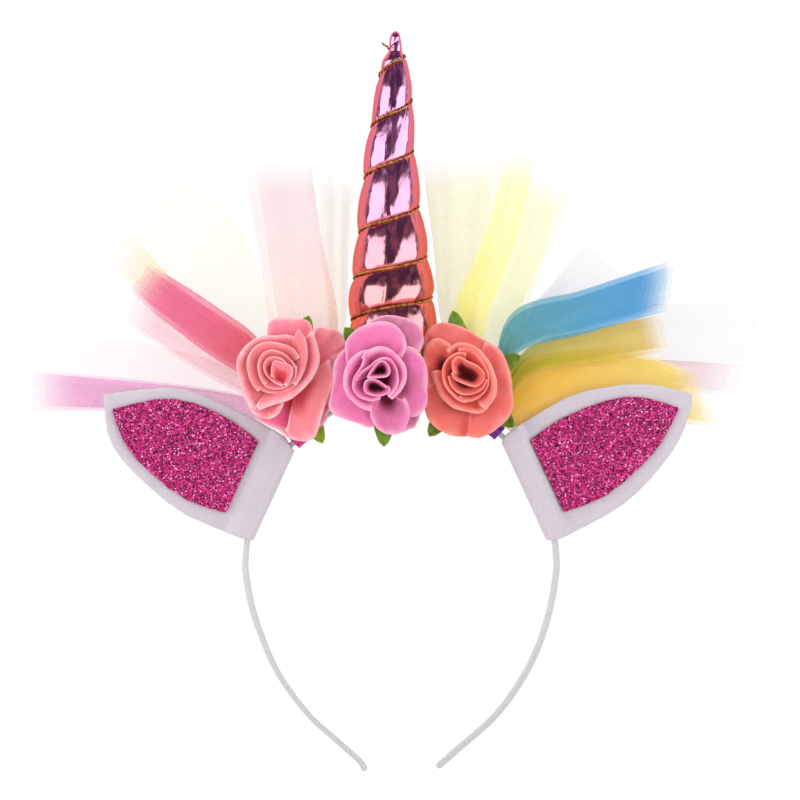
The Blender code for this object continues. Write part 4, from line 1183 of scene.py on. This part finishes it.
# Columns: strip, layer from the front, start and end on the root line, x and z of the lower and the upper side at
# the neck, at the waist and at the cut end, layers of net, the colour that the folded strip shows on white near the
# band and at its end, how much of the surface it covers in all, and how strongly single threads show.
TULLE = {
    "left": (
        ("lilac", 3, 0.0, 0.4, (-62, -9), (-62, 0.5), (-100, -6), (-98, 6), (-148.4, -5.2), (-149.2, 11.2),
         3, (230, 184, 208), (230, 176, 208), 0.68, 0.14),
        ("blush", 4, 0.05, 0.5, (-62, -2), (-60, 8), (-98, 5), (-95, 20), (-140, 11), (-139, 26),
         1, (249, 236, 238), (250, 240, 242), 0.22, 0.06),
        ("pink", 2, 0.1, 0.5, (-62, 0), (-60, 9), (-84, 12), (-80, 22), (-112, 31.2), (-110, 41),
         2, (240, 208, 212), (242, 216, 220), 0.46, 0.26),
        ("rose", 1, 0.15, 0.6, (-60, 6), (-56, 22), (-80, 19), (-73, 35.5), (-109.6, 42), (-101, 53.5),
         4, (230, 112, 128), (224, 122, 154), 0.92, 0.40),
        ("straw", 5, 0.2, 0.6, (-62, 9), (-58, 20), (-88, 28), (-82, 38), (-119.2, 54.4), (-110, 66),
         2, (244, 236, 214), (244, 236, 216), 0.40, 0.16),
        ("cream", 6, 0.2, 0.8, (-60, 14), (-51, 33), (-88, 38), (-65.2, 68.8), (-116.4, 62.8), (-90, 93.6),
         1, (252, 248, 238), (251, 249, 242), 0.22, 0.04),
        ("peach", 0, 0.3, 1.0, (-51.5, 24), (-25, 28), (-56.8, 59.2), (-32, 64.4), (-62.8, 93.6), (-36.4, 93.6),
         2, (244, 224, 216), (240, 224, 226), 0.46, 0.14),
        ("ivory", 7, 0.6, 1.0, (-30, 24), (-22.5, 26), (-33, 60), (-20.5, 60), (-34, 92.8), (-18.5, 88.8),
         3, (249, 240, 228), (251, 246, 240), 0.30, 0.12),
    ),
    "right": (
        ("yellow", 0, 0.4, 1.0, (34, 26), (20.5, 29), (46.8, 63.6), (32.4, 63.6), (54.4, 96.8), (42.4, 97.6),
         3, (246, 234, 160), (250, 246, 200), 0.72, 0.06),
        ("cream", 4, 0.5, 1.0, (30, 26), (17, 26), (38, 62), (12.8, 63.6), (41.6, 96.8), (8.4, 96.8),
         2, (249, 240, 206), (250, 246, 222), 0.46, 0.05),
        ("lemon", 5, 0.3, 0.8, (47, 26), (33, 28), (58.5, 57), (44, 61), (67.6, 82), (51.2, 90.4),
         2, (250, 245, 205), (251, 248, 220), 0.42, 0.05),
        ("white", 6, 0.2, 0.6, (54, 22), (48, 30), (73, 37), (61.2, 45.6), (92, 50), (75, 64),
         1, (232, 228, 233), (234, 230, 234), 0.42, 0.10),
        ("blue", 1, 0.1, 0.7, (45.2, 16.2), (43, 32), (74, 25.5), (74, 43.2), (107, 34.5), (110.5, 55.5),
         4, (106, 166, 170), (90, 160, 205), 0.94, 0.08),
        ("lime", 2, 0.05, 0.6, (50, 8), (50, 19), (80, 14), (76, 27), (108.4, 18.4), (104, 33),
         2, (184, 174, 84), (212, 186, 112), 0.88, 0.10),
        ("gold", 3, 0.0, 0.4, (48, -14), (47, 14), (85, -9), (85, 19), (128, -12), (119, 10),
         3, (236, 188, 72), (246, 214, 128), 0.93, 0.08),
        ("ice", 8, 0.1, 0.6, (56, 6), (54, 20), (92, 10), (90, 36), (141.2, 15.2), (145.6, 37.2),
         1, (240, 236, 238), (240, 238, 238), 0.32, 0.06),
        ("lilac", 7, 0.05, 0.5, (56, 0), (56, 9), (92, 3), (90, 15), (134.4, 0.4), (139, 13),
         2, (234, 208, 216), (236, 216, 222), 0.46, 0.12),
    ),
}


# %% One strip
def make_strip(side, row, seed):
    name, layer, root_low, root_high, *edges = row[:10]
    folds = row[10]
    lines = FOLD_LINES[folds]
    start, end = ROOT_LINES[side]
    lift = BAND_HALF_THICKNESS + WRAP_CLEARANCE + WRAP_WALL + GAP
    middle = arch((start + end) / 2, lift)[0]
    sides = []
    for share, points in ((root_low, edges[0::2]), (root_high, edges[1::2])):
        root = arch(blend(start, end, share), lift)[0]
        sides.append(smooth_path([root, *(Vector((x, 0, z)) for x, z in points)], 8))

    def place(across, along):
        run = across * folds
        number = min(int(run), folds - 1)
        over = blend(lines[number], lines[number + 1], run - number)
        over += 0.02 * noise.noise(Vector((along * 3.0, seed, number * 2.0))) * along
        frayed = abs(noise.noise(Vector((across * 9.0, seed, 4.0))))
        frayed += abs(noise.noise(Vector((across * 31.0, seed, 1.0))))
        reach = along * (1 - FRAY * frayed - SHORTER_LAYER * ((number + round(seed)) % 3))
        point = blend(along_path(sides[0], reach), along_path(sides[1], reach), over)
        far = (point - middle).length
        pleat = math.cos(math.pi * 4 * over + seed) * PLEAT_RISE * far
        ripple = 0.012 * far * noise.noise(Vector((over * 7.0, along * 2.2, seed)))
        depth = TULLE_FRONT + layer * (LAYER_STEP + LAYER_SPREAD * far) + FAN_LEAN * far + pleat + ripple
        return point + Vector((0, depth + FOLD_DEPTH * (across - 0.5), 0))

    return shaped_grid(f"tulle_{name}_{side}_net", STRIP_COLUMNS_PER_LAYER * folds, STRIP_ROWS, place)


def grid_size(piece, columns, rows):
    """The cloth's width where it is widest and its length down the middle, in millimetres."""
    points = [vertex.co for vertex in piece.data.vertices]
    widths = [sum((points[row * (columns + 1) + k + 1] - points[row * (columns + 1) + k]).length
                  for k in range(columns)) for row in range(rows + 1)]
    middle = columns // 2
    length = sum((points[(row + 1) * (columns + 1) + middle] - points[row * (columns + 1) + middle]).length
                 for row in range(rows))
    return max(widths) / MM, length / MM


# %% Net finish
# The share of light taken to fall on the threads. The net's colours are divided by it, which lifts them: painted light
# for the weaker light on the leaning strips and the light shining through the threads.
THREAD_LIGHT = 0.82


def net_material(name, near, far, cover, layers, thread, length):
    """Net that shows these colours near the band and at its end where all its layers lie on white."""
    material, tree, shader = new_material(name, colour(*near), 0.7)
    weave = add_node(tree, "ShaderNodeUVMap").outputs["UV"]
    out = maths(tree, "DIVIDE", add_node(tree, "ShaderNodeSeparateXYZ", {0: weave}).outputs[1], length)
    share = ranged(tree, out, 0.25, 0.95)
    threads = place_group(tree, net, {"Weave": weave, "Pitch": 1.1, "Thread": 0.34})["Threads"]
    # The net's own tint from what it shows on white, lifted by THREAD_LIGHT as painted light.
    own = [[max(0.01, min(1.0, (1 - (1 - part) / cover) / THREAD_LIGHT)) for part in colour(*seen)[:3]] + [1.0]
           for seen in (near, far)]
    tone = mixed(tree, share, *own)
    drift = place_group(tree, fibres, {"Size": 600.0, "Depth": 0.1, "Colour": tone, "Shade": 0.015})
    one_layer = 1 - (1 - cover) ** (1 / layers)
    soft = add_node(tree, "ShaderNodeTexNoise", {"Vector": weave, "Scale": 0.12, "Detail": 2.0}).outputs["Fac"]
    uneven = ranged(tree, soft, 0.3, 0.7, one_layer * 0.94, one_layer * 1.06)
    lines = maths(tree, "MULTIPLY", maths(tree, "SUBTRACT", threads, 0.45), thread * 2 * one_layer)
    covered = maths(tree, "ADD", uneven, lines, clamp=True)
    faded = maths(tree, "MULTIPLY", covered, ranged(tree, out, 1.0, 0.60 if layers == 1 else 0.88, 0.25, 1.0))
    tree.links.new(drift["Colour"], shader.inputs["Base Color"])
    tree.links.new(faded, shader.inputs["Alpha"])
    shader.inputs["Sheen Weight"].default_value = 0.2
    return material


# %% Hanging all the strips
strip_facts = []
for side, rows in TULLE.items():
    for number, row in enumerate(rows):
        name, folds = row[0], row[10]
        near, far, cover, thread = row[11:]
        strip = make_strip(side, row, number * 1.9 + (5.0 if side == "right" else 0.0))
        columns = STRIP_COLUMNS_PER_LAYER * folds
        width, length = grid_size(strip, columns, STRIP_ROWS)
        size_uv(strip, width, length)
        smooth_shading(strip, 60)
        finish = net_material(f"net_{name}_{side}", near, far, cover, folds, thread, length)
        stand_for(strip, f"tulle_{name}_{side}", finish)
        area = surface_area(strip)
        strip_facts.append((strip.name, round(width), round(length)))
for fact in strip_facts:
    print("strip", *fact)

# %% [markdown]
# ## The wraps
#
# Where a fan is tied on, net goes round the band in tight gathers, so close that nothing shows through. Single folds
# of net would cost many faces for a thing of one centimetre, so each wrap is a ring whose points move in and out
# thirteen times on the way round, and its finish is fibres in one deep colour.

# %% The wraps
# Start and end along the band's arch, in millimetres of x, and the colour.
WRAPS = {"left": (-43.0, -32.5, (214, 60, 142)), "right": (31.2, 39.5, (118, 44, 142))}
WRAP_PLEATS = 13
WRAP_COLUMNS, WRAP_ROWS = 104, 12
for side, (start, end, tone) in WRAPS.items():
    def place(around, along):
        point, outwards = arch(blend(start, end, along))
        angle = 2 * math.pi * around
        gather = 0.55 * math.sin(angle * WRAP_PLEATS + along * 2.0) + 0.5 * noise.noise(
            Vector((math.cos(angle) * 3, math.sin(angle) * 3, along * 2)))
        wall = WRAP_CLEARANCE + WRAP_WALL * 0.55 + gather * 0.7
        out = rounded(math.cos(angle), 0.6) * (BAND_HALF_THICKNESS + wall)
        deep = rounded(math.sin(angle), 0.6) * (BAND_HALF_WIDTH + wall)
        return point + outwards * out + Vector((0, deep, 0))

    wrap = shaped_grid(f"tulle_wrap_{side}_net", WRAP_COLUMNS, WRAP_ROWS, place)
    width, length = grid_size(wrap, WRAP_COLUMNS, WRAP_ROWS)
    size_uv(wrap, width, length)
    merge_points(wrap, 0.01)
    bpy.ops.mesh.normals_make_consistent(inside=False)
    bpy.ops.object.mode_set(mode="OBJECT")
    area = surface_area(wrap)
    apply_modifier(wrap, "SOLIDIFY", thickness=0.5 * MM, offset=0.0)
    smooth_shading(wrap, 70)
    gathered, tree, shader = new_material(f"net_wrap_{side}", colour(*tone), 0.7)
    cover_in_fibres(tree, shader, colour(*tone), 900.0, 0.4, 0.15)
    stand_for(wrap, f"tulle_wrap_{side}", gathered)

# %% [markdown]
# ## Sheets of felt
#
# Each felt ear's area is halved here: its two glued plies count as one sheet of the ear's own outline.

# %% Felt sizes
for side, ear in felt_ears.items():
    area = surface_area(ear) / 2
